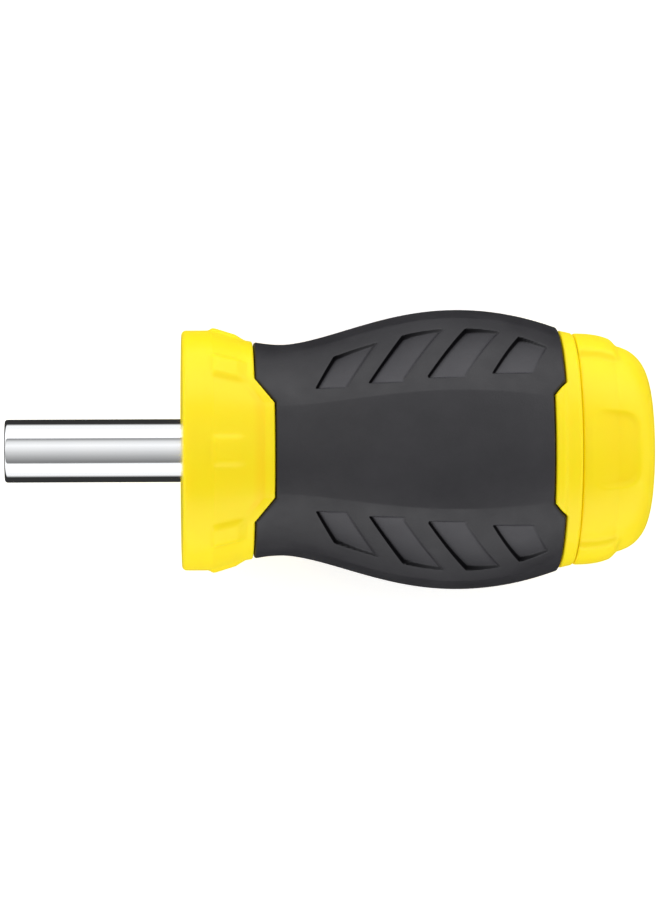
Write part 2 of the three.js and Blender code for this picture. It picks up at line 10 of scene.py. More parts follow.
import bpy
import numpy as np
from mathutils import Euler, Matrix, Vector


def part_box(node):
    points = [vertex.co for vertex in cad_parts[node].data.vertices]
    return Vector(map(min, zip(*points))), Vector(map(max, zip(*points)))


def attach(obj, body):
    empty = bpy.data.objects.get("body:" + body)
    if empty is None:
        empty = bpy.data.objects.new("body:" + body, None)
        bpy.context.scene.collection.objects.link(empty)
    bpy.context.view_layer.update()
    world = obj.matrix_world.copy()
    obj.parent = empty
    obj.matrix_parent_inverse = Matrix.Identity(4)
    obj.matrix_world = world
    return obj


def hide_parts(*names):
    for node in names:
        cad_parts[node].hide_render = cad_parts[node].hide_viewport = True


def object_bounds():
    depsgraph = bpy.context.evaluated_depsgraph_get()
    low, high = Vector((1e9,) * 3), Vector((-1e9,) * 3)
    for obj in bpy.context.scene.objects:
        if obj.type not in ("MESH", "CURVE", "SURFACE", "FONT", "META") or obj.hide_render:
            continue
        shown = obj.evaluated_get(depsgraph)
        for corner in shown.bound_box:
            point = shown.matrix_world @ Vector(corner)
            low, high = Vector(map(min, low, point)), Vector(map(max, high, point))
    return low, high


bl_info = {
    "name": "Stubby Multi-Bit Screwdriver",
    "version": (1, 0, 0),
    "blender": (4, 5, 0),
    "location": "View3D > Sidebar > Screwdriver",
    "description": "Builds the visible pieces of a stubby screwdriver round its frame",
    "category": "Object",
}

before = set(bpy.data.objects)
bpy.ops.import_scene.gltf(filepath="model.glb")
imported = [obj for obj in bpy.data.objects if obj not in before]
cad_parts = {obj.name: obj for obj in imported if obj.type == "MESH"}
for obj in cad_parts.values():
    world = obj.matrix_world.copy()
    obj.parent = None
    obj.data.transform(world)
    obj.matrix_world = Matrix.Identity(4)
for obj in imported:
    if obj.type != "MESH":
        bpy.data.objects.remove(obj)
CAD_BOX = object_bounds()

MM = 0.001
TURN = 2.0 * math.pi
QUARTER = math.pi / 2.0
CREASE = math.radians(38.0)  # edges sharper than this stay sharp
INNER_ROWS = 9  # rows along the inside of the grip
# Painted shade: this share deepens the yellow in the thumb recesses
THUMB_SHADE = 0.35  # how much deeper the yellow is in the thumb recesses

# The room's brightness by the angle from straight up, towards +Y
ROOM = (
    (-112.0, 0.015),
    (-100.0, 0.45),
    (-47.0, 0.45),
    (-44.5, 0.08),
    (-40.0, 0.1),
    (-20.0, 0.2),
    (0.0, 0.33),
    (20.0, 0.46),
    (34.0, 0.36),
    (45.0, 0.1),
    (49.0, 0.45),
    (106.0, 0.45),
    (116.0, 0.015),
)

# Places and sizes that the frame gives
core_low, core_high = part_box("handle_core")
grip_low, grip_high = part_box("grip_sleeve")
holder_low, holder_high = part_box("holder_sleeve")
magnet_low, magnet_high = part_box("socket_magnet")
snap_low, snap_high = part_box("socket_snap_ring")
carrier_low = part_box("bit_carrier")[0]
seal_low, seal_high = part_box("cap_seal")
cap_low, cap_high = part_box("end_cap")

AXIS_Z = (holder_low.z + holder_high.z) / 2.0
COLLAR_X = core_low.x
SEAM = core_high.x - COLLAR_X
GRIP_START = grip_low.x - COLLAR_X
GRIP_END = grip_high.x - COLLAR_X
BELLY_RADIUS = (grip_high.y - grip_low.y) / 2.0
HOLDER_RADIUS = (holder_high.y - holder_low.y) / 2.0
HOLDER_TIP = holder_low.x - COLLAR_X
HOLDER_TAIL = holder_high.x - COLLAR_X
CARRIER_START = carrier_low.x - COLLAR_X
SEAL_START = seal_low.x - COLLAR_X
SEAL_END = seal_high.x - COLLAR_X
SEAL_RADIUS = (seal_high.z - seal_low.z) / 2.0
CAP_FRONT_RADIUS = (cap_high.y - cap_low.y) / 2.0
SPIGOT_START = cap_low.x - COLLAR_X
CAP_END = cap_high.x - COLLAR_X


def length(name, description, millimetres):
    """A length property, given in millimetres and held in metres."""
    return bpy.props.FloatProperty(
        name=name, description=description, default=millimetres * MM, unit="LENGTH", precision=5
    )


def angle(name, description, degrees):
    return bpy.props.FloatProperty(
        name=name, description=description, default=math.radians(degrees), subtype="ANGLE"
    )


def count(name, description, default):
    return bpy.props.IntProperty(name=name, description=description, default=default, min=1)


def strength(name, description, default):
    return bpy.props.FloatProperty(name=name, description=description, default=default)


def colour(name, description, default):
    return bpy.props.FloatVectorProperty(
        name=name, description=description, default=default, size=3, subtype="COLOR", min=0.0, max=1.0
    )


def share(name, description, default):
    return bpy.props.FloatProperty(
        name=name, description=description, default=default, min=0.0, max=1.0, subtype="FACTOR"
    )


class CoreSizes(bpy.types.PropertyGroup):
    """The hard moulding: collar, wings, tongues, rear ring and bit chamber."""

    gap: length("Seat gap", "Gap between the core and what sits on it", 0.3)
    rim_radius: length("Collar radius", "Radius of the collar's rim", 18.1)
    rim_length: length("Rim length", "Straight stretch behind the collar's front face", 4.5)
    lip_length: length("Lip length", "Band along the edge that meets the grip", 1.7)
    lip_fall: length("Lip fall", "How far the band falls to the edge between the wings", 0.3)
    lip_rise: length("Lip rise", "How far the band rises to the edge on the wings", 0.16)
    lugs: count("Lugs", "Raised lugs round the collar", 8)
    lug_start: length("Lug start", "Where the lugs' tops begin behind the front face", 4.4)
    lug_length: length("Lug length", "Length of each lug's top along the tool", 3.7)
    lug_heel: length("Lug heel", "Length of the slope behind each lug's top", 1.8)
    lug_half: length("Lug half width", "Half the width of each lug", 2.05)
    lug_soft: length("Lug softness", "Width of the slopes at the sides of each lug", 1.4)
    lug_front: length("Lug front radius", "Radius of the lug tops at their front", 18.7)
    lug_rear: length("Lug rear radius", "Radius of the lug tops at their rear", 17.55)
    wing_length: length("Wing length", "How far each wing reaches into the grip", 2.95)
    wing_tip: angle("Wing tip", "Azimuth at the corner of the wing's tip", 26.5)
    wing_root: angle("Wing root", "Azimuth at the root of the wing", 41.0)
    tongue_length: length("Tongue length", "How far each rear tongue reaches into the grip", 1.9)
    tongue_tip: angle("Tongue tip", "Azimuth at the corner of the tongue's tip", 25.3)
    tongue_root: angle("Tongue root", "Azimuth at the root of the tongue", 34.0)
    mouth_radius: length("Mouth radius", "Outer radius of the handle at its mouth", 17.5)
    rear_radius: length("Rear radius", "Radius of the grip at its rear end", 18.3)
    rear_step: length("Rear step", "How far the rear ring lies below the grip's surface", 0.3)
    chamber_radius: length("Chamber radius", "Radius of the chamber for the bits", 13.72)
    groove_depth: length("Groove depth", "Depth of the seal's groove in the chamber wall", 0.8)
    edge: length("Edge", "Rounding of the moulded edges", 0.35)
    shank_hole: length("Shank hole", "Radius of the hole round the shank", 3.764)
    slot_end: length("Tang slot end", "End of the tang's slot behind the collar's face", 31.6)
    slot_length: length("Tang slot length", "Length of the tang's slot", 6.6)
    tang_half_span: length("Tang slot half span", "Half the span of the tang's slot", 6.8)
    tang_half_thickness: length("Tang slot half thickness", "Half the thickness of the slot", 1.8)


class GripSizes(bpy.types.PropertyGroup):
    """The soft grip and its slanted recesses."""

    rubber: length("Rubber thickness", "Thickness of the soft grip", 2.4)
    collar_radius: length("Front radius", "Radius where the grip meets the collar", 16.4)
    waist_radius: length("Waist radius", "Radius at the narrowest place", 15.9)
    waist_setback: length("Waist place", "Distance of the waist behind the grip's front", 4.5)
    belly_setback: length("Belly place", "Distance of the belly behind the grip's front", 30.9)
    panel_half: angle("Panel half angle", "Azimuth of the panel's soft edge", 24.0)
    panel_bow: share("Panel bow", "How much flatter than round the panels are", 0.125)
    corner_flat: share("Corner flatness", "How much flatter than round the corners are", 0.4)
    edge_gap: length("Edge gap", "Width of the groove between the grip and the hard core", 0.2)
    recesses: count("Recesses", "Slanted recesses at each corner", 4)
    recess_start: length("First recess", "First recess's lower corner behind the collar's face", 19.5)
    recess_pitch: length("Recess pitch", "Distance from the first recess to the second", 8.0)
    recess_spread: length("Recess spread", "Half of what each pitch adds to the one before it", 0.33)
    recess_length: length("Recess length", "Length of the first recess along the tool", 4.7)
    recess_growth: length("Recess growth", "How much longer each recess is than the one before", 0.35)
    recess_lean: length("Recess lean", "How far a recess leans along the tool where it leans most", 6.1)
    lean_middle: length("Lean middle", "Where the lean is greatest, behind the collar's face", 35.0)
    lean_reach: length("Lean reach", "Distance from there at which the lean runs out", 26.0)
    recess_low: angle("Recess low edge", "Azimuth where the lean starts, near the upper panel", 31.5)
    recess_side: length("Recess side", "Distance of the first recess from the middle plane", 9.2)
    recess_shift: length("Recess shift", "How much farther out each recess lies than the last", 0.7)
    recess_high: angle("Recess high edge", "Azimuth of the far edge where it is highest", 58.5)
    recess_droop: angle("Recess droop", "How much lower the far edge lies towards both ends", 5.5)
    droop_reach: length("Droop reach", "Distance at which the far edge lies that much lower", 16.0)
    recess_depth: length("Recess depth", "Depth of the recesses at their deepest corner", 0.75)


class CapSizes(bpy.types.PropertyGroup):
    """The end cap."""

    seam_gap: length("Seam gap", "Gap between the cap and the handle's mouth", 0.1)
    pad_height: length("Pad height", "How far the grip pads stand out", 0.9)
    pad_half: angle("Pad half angle", "Half the azimuth that each grip pad covers", 33.0)
    shoulder: length("Shoulder", "Distance of the shoulder behind the seam", 5.6)
    taper: length("Taper", "How much narrower the shoulder is than the cap's front", 0.85)
    dome_taper: length("Dome taper", "How much narrower the dome's side is at its end", 2.3)
    dome_power: count("Dome power", "Squareness of the dome's corner, 2 for an ellipse", 4)
    flat_radius: length("Flat radius", "Radius of the flat in the middle of the end", 3.5)
    thumb_start: length("Thumb recess start", "Distance of the recess behind the seam", 1.2)
    thumb_length: length("Thumb recess length", "Length of the recess along the tool", 7.7)
    thumb_half: length("Thumb recess half width", "Half the width of the recess", 6.2)
    thumb_corner: length("Thumb recess corner", "Corner radius of the recess", 2.6)
    thumb_depth: length("Thumb recess depth", "Depth of the recess", 0.5)
    spigot_radius: length("Spigot radius", "Radius of the spigot that enters the handle", 13.42)
    spigot_wall: length("Spigot wall", "Wall thickness of the spigot", 1.8)
    crown: length("Crown thickness", "Thickness of the cap's closed end", 5.0)


class HolderSizes(bpy.types.PropertyGroup):
    """The bit holder and the bits."""

    flats: length("Socket flats", "Size of the hexagonal socket across its flats", 6.6)
    bit_flats: length("Bit flats", "Size of a bit across its flats", 6.35)
    edge: length("Edge", "Rounding of the tube's rim", 0.45)
    mouth: length("Mouth", "Depth of the lead-in at the socket's mouth", 0.5)
    groove_depth: length("Groove depth", "Depth of the snap ring's groove beyond the corners", 0.35)
    hex_length: length("Hexagon length", "Length of a bit's hexagonal end", 16.0)
    neck_radius: length("Neck radius", "Radius of a bit's neck", 2.6)
    neck_length: length("Neck length", "Length of a bit's neck", 4.0)


class Finishes(bpy.types.PropertyGroup):
    """Colours and strengths of the finishes."""

    yellow: colour("Yellow", "The hard plastic's colour", (0.99, 0.765, 0.0012))
    rubber: colour("Charcoal", "The soft grip's colour", (0.0165, 0.016, 0.0195))
    chrome: colour("Chrome", "The plated tube's colour", (0.83, 0.84, 0.85))
    steel: colour("Steel", "The bright steel's colour", (0.52, 0.53, 0.54))
    bit_steel: colour("Bit steel", "The hardened bits' colour", (0.2, 0.2, 0.21))
    black: colour("Black plastic", "The bit carrier's colour", (0.022, 0.022, 0.024))
    floor: colour("Floor", "The floor's colour", (0.9, 0.9, 0.9))
    glow: share("Floor glow", "Light that the floor gives off by itself", 0.5)


class StageSizes(bpy.types.PropertyGroup):
    """The camera and the lights."""

    distance: length("Camera distance", "From the camera to the tool's axis", 650.0)
    tilt: angle("Camera tilt", "How far the camera stands towards the shaft's end", 2.65)
    roll: angle("Camera roll", "Turn of the picture", -0.22)
    aim: length("Camera aim", "How far past the tool's middle the camera looks", 0.3)
    view_width: length("View width", "Width of the view at the tool's axis", 99.7)
    softbox: strength("Softboxes", "Power of the light towards +Y", 1.35)
    dimmer: share("Dimmer side", "Power of the light towards -Y, as a share of the other's", 0.8)
    room: strength("Room", "Strength of the room's light", 2.6)


class ScrewdriverSettings(bpy.types.PropertyGroup):
    """All settings of the tool."""

    core: bpy.props.PointerProperty(type=CoreSizes, name="Core", description="Hard moulding")
    grip: bpy.props.PointerProperty(type=GripSizes, name="Grip", description="Soft grip")
    cap: bpy.props.PointerProperty(type=CapSizes, name="Cap", description="End cap")
    holder: bpy.props.PointerProperty(type=HolderSizes, name="Holder", description="Bit holder and bits")
    finishes: bpy.props.PointerProperty(type=Finishes, name="Finishes", description="Colours")
    stage: bpy.props.PointerProperty(type=StageSizes, name="Stage", description="Camera and lights")


# ---------------------------------------------------------------- curves and masks


def smooth(low, high, value):
    """0 below low and 1 above high, with 3t^2 - 2t^3 between them."""
    t = np.clip((value - low) / (high - low), 0.0, 1.0)
    return t * t * (3.0 - 2.0 * t)


def band(value, low, high, soft):
    """1 between low and high, falling to 0 over a width of soft at each of them."""
    half = soft / 2.0
    return smooth(low - half, low + half, value) * (1.0 - smooth(high - half, high + half, value))


def folded(azimuth, period):
    """How far an azimuth is from the nearest multiple of period."""
    return np.abs((azimuth + period / 2.0) % period - period / 2.0)


def clustered(low, high, spacing, edges, reach):
    """Even samples from low to high, with finer ones within reach of each edge."""
    edges = np.asarray(edges, float).reshape(-1, 1)
    even = np.linspace(low, high, round((high - low) / spacing) + 1)
    even = even[np.abs(even - edges).min(axis=0, initial=np.inf) > reach]
    near = (edges + reach * np.array([-1.0, -0.6, -0.35, -0.15, 0.0, 0.15, 0.35, 0.6, 1.0])).ravel()
    samples = np.sort(np.concatenate([even, near]))
    inside = samples[(samples > low + reach * 0.1) & (samples < high - reach * 0.1)]
    inside = inside[np.diff(inside, prepend=low - reach) > reach * 0.1]
    return np.concatenate([[low], inside, [high]])


def whole_turn(spacing, edges=(), reach=0.01):
    """Azimuths once round the tool, finer within reach of each edge, without the last."""
    edges = np.asarray(edges, float)
    every = np.concatenate([edges - TURN, edges, edges + TURN])
    return clustered(0.0, TURN, spacing, every, reach)[:-1]


def mirrored(angles, period):
    """Each angle and its mirror image in every period of a whole turn."""
    starts = np.arange(0.0, TURN - 0.001, period)
    both = np.concatenate([np.asarray(angles), -np.asarray(angles)])
    return np.unique(np.round((starts[:, None] + both).ravel() % TURN, 6))


def bend_rows(x0, r0, x1, r1, steps, radial_first):
    """Rows round a quarter of an ellipse from (x0, r0) to (x1, r1).

    With radial_first the curve leaves along the radius and arrives along the tool, so
    x follows 1 - cos and the radius follows sin. Otherwise they change places.
    """
    rows = []
    for t in np.linspace(0.0, QUARTER, steps):
        a, b = 1.0 - math.cos(t), math.sin(t)
        if not radial_first:
            a, b = b, a
        rows.append((x0 + (x1 - x0) * a, r0 + (r1 - r0) * b))
    return rows


def line_rows(x0, r0, x1, r1, steps):
    """Evenly spaced rows from (x0, r0) up to, but not with, (x1, r1)."""
    share_along = np.linspace(0.0, 1.0, steps, endpoint=False)
    return [(x0 + (x1 - x0) * t, r0 + (r1 - r0) * t) for t in share_along]


def between(first, last, steps):
    """Evenly spaced places from first to last, without the first."""
    return [first + (last - first) * t for t in np.linspace(0.0, 1.0, steps + 1)[1:]]


def stacked(rows, columns):
    """Turns rows of (place along, radius) into two arrays of rows by columns."""
    along = np.stack([np.broadcast_to(x, columns) for x, _ in rows])
    radius = np.stack([np.broadcast_to(r, columns) for _, r in rows])
    return along, radius


# ---------------------------------------------------------------- meshes


def grid_faces(rows, columns, closed):
    """Four-sided faces between neighbouring rows and columns, closed round the tool."""
    index = np.arange(rows * columns).reshape(rows, columns)
    if closed:
        index = np.vstack([index, index[:1]])
    index = np.hstack([index, index[:, :1]])
    corners = [index[:-1, :-1], index[1:, :-1], index[1:, 1:], index[:-1, 1:]]
    return np.stack(corners, axis=-1).reshape(-1, 4)


def volume_of(points, quads, triangles):
    """The signed volume inside the faces: each triangle's corner product over six."""
    three = np.concatenate([quads[:, [0, 1, 2]], quads[:, [0, 2, 3]], triangles])
    a, b, c = (points[three[:, k]] for k in range(3))
    return float(np.einsum("ij,ij->i", a, np.cross(b, c)).sum() / 6.0)


def solid_mesh(name, points, quads, triangles, mask=None):
    """A smooth closed mesh with its faces outwards, and an optional value per point."""
    points = np.asarray(points, float)
    triangles = np.asarray(triangles, int).reshape(-1, 3)
    if volume_of(points, quads, triangles) < 0.0:
        quads = quads[:, ::-1]
        triangles = triangles[:, ::-1]
    mesh = bpy.data.meshes.new(name)
    mesh.from_pydata(points.tolist(), [], quads.tolist() + triangles.tolist())
    mesh.polygons.foreach_set("use_smooth", np.ones(len(mesh.polygons), bool))
    mesh.set_sharp_from_angle(angle=CREASE)
    if mask is not None:
        layer = mesh.attributes.new("mask", "FLOAT", "POINT")
        layer.data.foreach_set("value", np.asarray(mask, np.float32).ravel())
    mesh.update()
    piece = bpy.data.objects.new(name, mesh)
    bpy.context.scene.collection.objects.link(piece)
    return piece


def round_the_tool(along, radius, azimuth):
    """Points at the given places along, distances from and azimuths round the axis."""
    y = radius * np.sin(azimuth)
    z = AXIS_Z + radius * np.cos(azimuth)
    return np.stack([COLLAR_X + along, y, z], axis=-1)


def ring_piece(name, rows, azimuth, mask=None):
    """A profile that closes on itself, carried once round the tool's axis."""
    along, radius = stacked(rows, azimuth.shape)
    points = round_the_tool(along, radius, azimuth).reshape(-1, 3)
    values = None if mask is None else mask(along, azimuth)
    quads = grid_faces(*radius.shape, closed=True)
    return solid_mesh(name, points, quads, [], values)


def poled(points, rows, columns, first, last):
    """Adds a pole at each end of an open grid: its points, quads and triangles."""
    quads = grid_faces(rows, columns, closed=False)
    ring = np.arange(columns)
    after = np.roll(ring, -1)
    total = rows * columns
    start = np.stack([np.full(columns, total), ring, after], axis=-1)
    end_ring = ring + total - columns
    end = np.stack([np.full(columns, total + 1), np.roll(end_ring, -1), end_ring], axis=-1)
    return np.vstack([points, first, last]), quads, np.vstack([start, end])


def poled_piece(name, rows, azimuth, mask=None):
    """A profile from pole to pole, carried once round the tool's axis."""
    along, radius = stacked(rows, azimuth.shape)
    points = round_the_tool(along, radius, azimuth).reshape(-1, 3)
    first = [COLLAR_X + float(np.mean(along[0])), 0.0, AXIS_Z]
    last = [COLLAR_X + float(np.mean(along[-1])), 0.0, AXIS_Z]
    values = None if mask is None else np.append(mask(along, azimuth).ravel(), [0.0, 0.0])
    points, quads, triangles = poled(points, *radius.shape, first, last)
    return solid_mesh(name, points, quads, triangles, values)


def settle(piece, body, slot, material, *nodes):
    """Gives a piece its body and its finish, and hides the frame's nodes that it stands for."""
    piece.data.materials.append(material)
    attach(piece, body)
    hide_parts(*nodes)


# ---------------------------------------------------------------- finishes


class Finish:
    """A node material: noise on Object coordinates varies colour, gloss and relief."""

    def __init__(self, name, base, roughness, metallic=0.0):
        self.material = bpy.data.materials.new(name)
        self.material.use_nodes = True
        self.tree = self.material.node_tree
        self.shader = self.tree.nodes["Principled BSDF"]
        self.shader.inputs["Base Color"].default_value = (*base, 1.0)
        self.shader.inputs["Roughness"].default_value = roughness
        self.shader.inputs["Metallic"].default_value = metallic
        self.base = base
        self.place = self.tree.nodes.new("ShaderNodeTexCoord").outputs["Object"]
        self.relief = None

    def node(self, kind, **values):
        made = self.tree.nodes.new(kind)
        for key, value in values.items():
            setattr(made, key, value)
        return made

    def link(self, source, target):
        self.tree.links.new(source, target)

    def stretched(self, scale):
        """Object coordinates stretched by a scale for each axis."""
        mapping = self.node("ShaderNodeMapping")
        mapping.inputs["Scale"].default_value = scale
        self.link(self.place, mapping.inputs["Vector"])
        return mapping.outputs["Vector"]

    def noise(self, scale, detail=3.0, roughness=0.5, place=None):
        noise = self.node("ShaderNodeTexNoise")
        noise.inputs["Scale"].default_value = scale
        noise.inputs["Detail"].default_value = detail
        noise.inputs["Roughness"].default_value = roughness
        self.link(place or self.place, noise.inputs["Vector"])
        return noise.outputs["Fac"]

    def ranged(self, value, low, high, start=0.3, end=0.7):
        """Maps a value from start..end to low..high."""
        ranged = self.node("ShaderNodeMapRange")
        for socket, number in zip(("From Min", "From Max", "To Min", "To Max"), (start, end, low, high)):
            ranged.inputs[socket].default_value = number
        self.link(value, ranged.inputs["Value"])
        return ranged.outputs["Result"]

    def tint(self, factor, shade):
        """Mixes what colours the surface so far with its base times shade."""
        mix = self.node("ShaderNodeMix", data_type="RGBA")
        socket = self.shader.inputs["Base Color"]
        if socket.is_linked:
            self.link(socket.links[0].from_socket, mix.inputs["A"])
        else:
            mix.inputs["A"].default_value = (*self.base, 1.0)
        mix.inputs["B"].default_value = (*(min(1.0, c * s) for c, s in zip(self.base, shade)), 1.0)
        self.link(factor, mix.inputs["Factor"])
        self.link(mix.outputs["Result"], socket)

    def gloss(self, value, low, high):
        """Roughness that runs from low to high with a value."""
        self.link(self.ranged(value, low, high), self.shader.inputs["Roughness"])

    def bump(self, value, height, strength=1.0):
        """Relief of the given height in metres, on top of what is there already."""
        bump = self.node("ShaderNodeBump")
        bump.inputs["Strength"].default_value = strength
        bump.inputs["Distance"].default_value = height
        self.link(value, bump.inputs["Height"])
        if self.relief:
            self.link(self.relief, bump.inputs["Normal"])
        self.relief = bump.outputs["Normal"]
        self.link(self.relief, self.shader.inputs["Normal"])

    def mask(self):
        return self.node("ShaderNodeAttribute", attribute_name="mask").outputs["Fac"]


def yellow_plastic(finishes):
    """Satin hard plastic: slow drift, painted shade that deepens the yellow in creases and recesses, a
    fine grain and faint flow lines.
    """
    finish = Finish("yellow_plastic_finish", finishes.yellow, 0.36)
    finish.shader.inputs["Specular IOR Level"].default_value = 0.32
    finish.shader.inputs["Subsurface Weight"].default_value = 0.3
    finish.shader.inputs["Subsurface Radius"].default_value = (1.0, 0.6, 0.1)
    finish.shader.inputs["Subsurface Scale"].default_value = 1.2 * MM
    drift = finish.noise(90.0, 2.0)
    finish.tint(finish.ranged(drift, 0.0, 0.5), (0.98, 0.95, 0.8))
    # Painted shade: the mask deepens the yellow in the wing creases and the thumb recesses
    finish.tint(finish.mask(), (1.0, 0.9, 0.1))
    flow = finish.noise(160.0, 4.0, place=finish.stretched((0.25, 1.0, 1.0)))
    finish.gloss(flow, 0.3, 0.44)
    finish.bump(finish.noise(5200.0, 2.0), 0.012 * MM)
    finish.bump(finish.noise(420.0, 2.0), 0.02 * MM, 0.6)
    return finish.material


def grip_rubber(finishes):
    """Matt soft rubber: a pebbled grain and dusty drift, with painted light on the recess floors and
    painted shade in their creases.
    """
    finish = Finish("grip_rubber_finish", finishes.rubber, 0.46)
    # The mask's negative part is painted shade in the recess creases; there the sheen is also taken away
    crease = finish.ranged(finish.mask(), 1.0, 0.0, -1.0, 0.0)
    sheen = finish.ranged(crease, 0.42, 0.03, 0.0, 1.0)
    finish.link(sheen, finish.shader.inputs["Specular IOR Level"])
    dust = finish.noise(140.0, 5.0, 0.6)
    finish.tint(finish.ranged(dust, 0.0, 0.8), (1.5, 1.5, 1.45))
    # Painted light: the recess floors are painted paler, as if lit
    finish.tint(finish.ranged(finish.mask(), 0.0, 1.0, 0.0, 1.0), (2.6, 2.6, 2.5))
    # Painted shade: the recess creases are painted darker
    finish.tint(crease, (0.25, 0.25, 0.25))
    finish.gloss(finish.noise(260.0, 4.0), 0.4, 0.54)
    finish.bump(finish.noise(2600.0, 3.0, 0.55), 0.02 * MM)
    finish.bump(finish.noise(600.0, 3.0), 0.02 * MM, 0.5)
    return finish.material


def chrome_plate(finishes):
    """Polished plating over a drawn tube: very fine long draw marks and faint haze."""
    finish = Finish("chrome_plate_finish", finishes.chrome, 0.07, 1.0)
    draw = finish.noise(2400.0, 3.0, place=finish.stretched((0.03, 1.0, 1.0)))
    finish.gloss(draw, 0.04, 0.11)
    haze = finish.noise(130.0, 4.0)
    finish.tint(finish.ranged(haze, 0.0, 0.5), (0.95, 0.96, 0.98))
    finish.bump(draw, 0.0015 * MM, 0.5)
    return finish.material


def worked_steel(name, base, rough_low, rough_high, grain_stretch, relief):
    """Machined or hardened steel: tool marks stretched one way, with mottled tone."""
    finish = Finish(name, base, (rough_low + rough_high) / 2.0, 1.0)
    marks = finish.noise(2200.0, 4.0, place=finish.stretched(grain_stretch))
    finish.gloss(marks, rough_low, rough_high)
    mottle = finish.noise(700.0, 4.0, 0.6)
    finish.tint(finish.ranged(mottle, 0.0, 0.7), (0.72, 0.72, 0.74))
    finish.bump(marks, relief)
    return finish.material


def moulded_black(name, base, grain, relief):
    """Black moulded plastic or rubber with a fine grain and cloudy gloss."""
    finish = Finish(name, base, 0.5)
    finish.tint(finish.ranged(finish.noise(240.0, 4.0), 0.0, 0.8), (1.7, 1.7, 1.7))
    finish.gloss(finish.noise(500.0, 3.0), 0.4, 0.6)
    finish.bump(finish.noise(grain, 2.0), relief)
    return finish.material


def pale_floor(finishes):
    """A pale matt sheet, lit a little from beneath, with a faint fibre in it."""
    finish = Finish("pale_floor_finish", finishes.floor, 0.9)
    finish.shader.inputs["Specular IOR Level"].default_value = 0.1
    finish.shader.inputs["Emission Color"].default_value = (1.0, 1.0, 1.0, 1.0)
    finish.shader.inputs["Emission Strength"].default_value = finishes.glow
    finish.tint(finish.ranged(finish.noise(60.0, 3.0), 0.0, 0.3), (0.985, 0.985, 0.985))
    finish.bump(finish.noise(900.0, 2.0), 0.02 * MM, 0.3)
    return finish.material


# ---------------------------------------------------------------- shapes of the handle


def grip_radius(along, grip, core):
    """The panels' distance from the axis.

    From the grip's front it falls on a parabola into the waist, rises on a half wave
    of t to the power 0.8 to the belly, and falls on a parabola to the rear.
    """
    waist = GRIP_START + grip.waist_setback
    belly = GRIP_START + grip.belly_setback
    first = np.clip((along - GRIP_START) / (waist - GRIP_START), 0.0, 1.0)
    rise = np.clip((along - waist) / (belly - waist), 0.0, 1.0) ** 0.8
    fall = np.clip((along - belly) / (GRIP_END - belly), 0.0, 1.2)
    front = grip.waist_radius + (grip.collar_radius - grip.waist_radius) * (1.0 - first) ** 2
    middle = (BELLY_RADIUS - grip.waist_radius) * (1.0 - np.cos(math.pi * rise)) / 2.0
    return front + middle - (BELLY_RADIUS - core.rear_radius) * fall**2


def grip_surface(along, azimuth, grip, core):
    """The grip without its recesses: four flattened panels with corners between them.

    With d the angle from the middle of the nearest panel, the radius grows by bow times
    d squared as far as the panel's edge. From there it falls on a parabola that is level
    at the corner's middle. Both fade on a half wave towards the grip's ends.
    """
    share_along = np.clip((along - GRIP_START) / (GRIP_END - GRIP_START), 0.0, 1.0)
    swell = np.sin(math.pi * share_along)
    beside = folded(azimuth, QUARTER)
    corner = QUARTER / 2.0 - grip.panel_half
    past = np.clip(beside - grip.panel_half, 0.0, corner)
    bow = grip.panel_bow * np.minimum(beside, grip.panel_half) ** 2
    drop = grip.corner_flat * (corner * past - past**2 / 2.0)
    return grip_radius(along, grip, core) * (1.0 + swell * (bow - drop))


def notched(azimuth, reach, tip, root):
    """A trapezoid round azimuth 0 and 180: reach inside tip, falling straight to 0 at root."""
    beside = folded(azimuth, math.pi)
    return reach * np.clip((root - beside) / (root - tip), 0.0, 1.0)


def front_edge(azimuth, core):
    """Where the collar ends and the grip begins."""
    return GRIP_START + notched(azimuth, core.wing_length, core.wing_tip, core.wing_root)


def rear_edge(azimuth, core):
    """Where the grip ends and the rear ring begins."""
    return GRIP_END - notched(azimuth, core.tongue_length, core.tongue_tip, core.tongue_root)


def collar_surface(along, azimuth, core, grip):
    """The collar: a straight rim, a cone down to a lip, and soft lugs.

    The lip keeps its width along the edge of the grip, so the crease above it runs
    parallel to that edge. It falls to the edge between the wings, and rises to it on
    the wings. A lug's top falls straight from its front to its heel. Behind the heel it
    falls more steeply, to the grip's front radius one heel's length on, and sinks into
    the collar. What stands proud, p, fades as half of p plus the root of p squared plus a
    small length squared, so that no sharp line is left where it sinks in.
    """
    edge = front_edge(azimuth, core)
    end_radius = grip_surface(edge, azimuth, grip, core)
    on_wing = (edge - GRIP_START) / core.wing_length
    fallen = core.lip_fall * (1.0 - on_wing) - core.lip_rise * on_wing
    valley = end_radius + fallen
    lip_start = edge - core.lip_length
    fall = np.clip((along - core.rim_length) / (lip_start - core.rim_length), 0.0, 1.0)
    cone = core.rim_radius + (valley - core.rim_radius) * fall
    lip = valley - fallen * np.clip((along - lip_start) / core.lip_length, 0.0, 1.0)
    base = np.where(along > lip_start, lip, cone)

    heel = core.lug_start + core.lug_length
    knots = [core.lug_start, heel, heel + 2.0 * core.lug_heel]
    sunk = 2.0 * grip.collar_radius - core.lug_rear
    top = np.interp(along, knots, [core.lug_front, core.lug_rear, sunk])
    proud = top - base
    rounded = 0.15 * MM
    proud = (proud + np.sqrt(proud**2 + rounded**2) - rounded) / 2.0
    across = folded(azimuth, TURN / core.lugs) * base
    half_soft = core.lug_soft / 2.0
    on_lug = smooth(core.lug_start - 0.5 * MM, core.lug_start + 0.6 * MM, along)
    on_lug = on_lug * (1.0 - smooth(core.lug_half - half_soft, core.lug_half + half_soft, across))
    return base + np.maximum(proud, 0.0) * on_lug


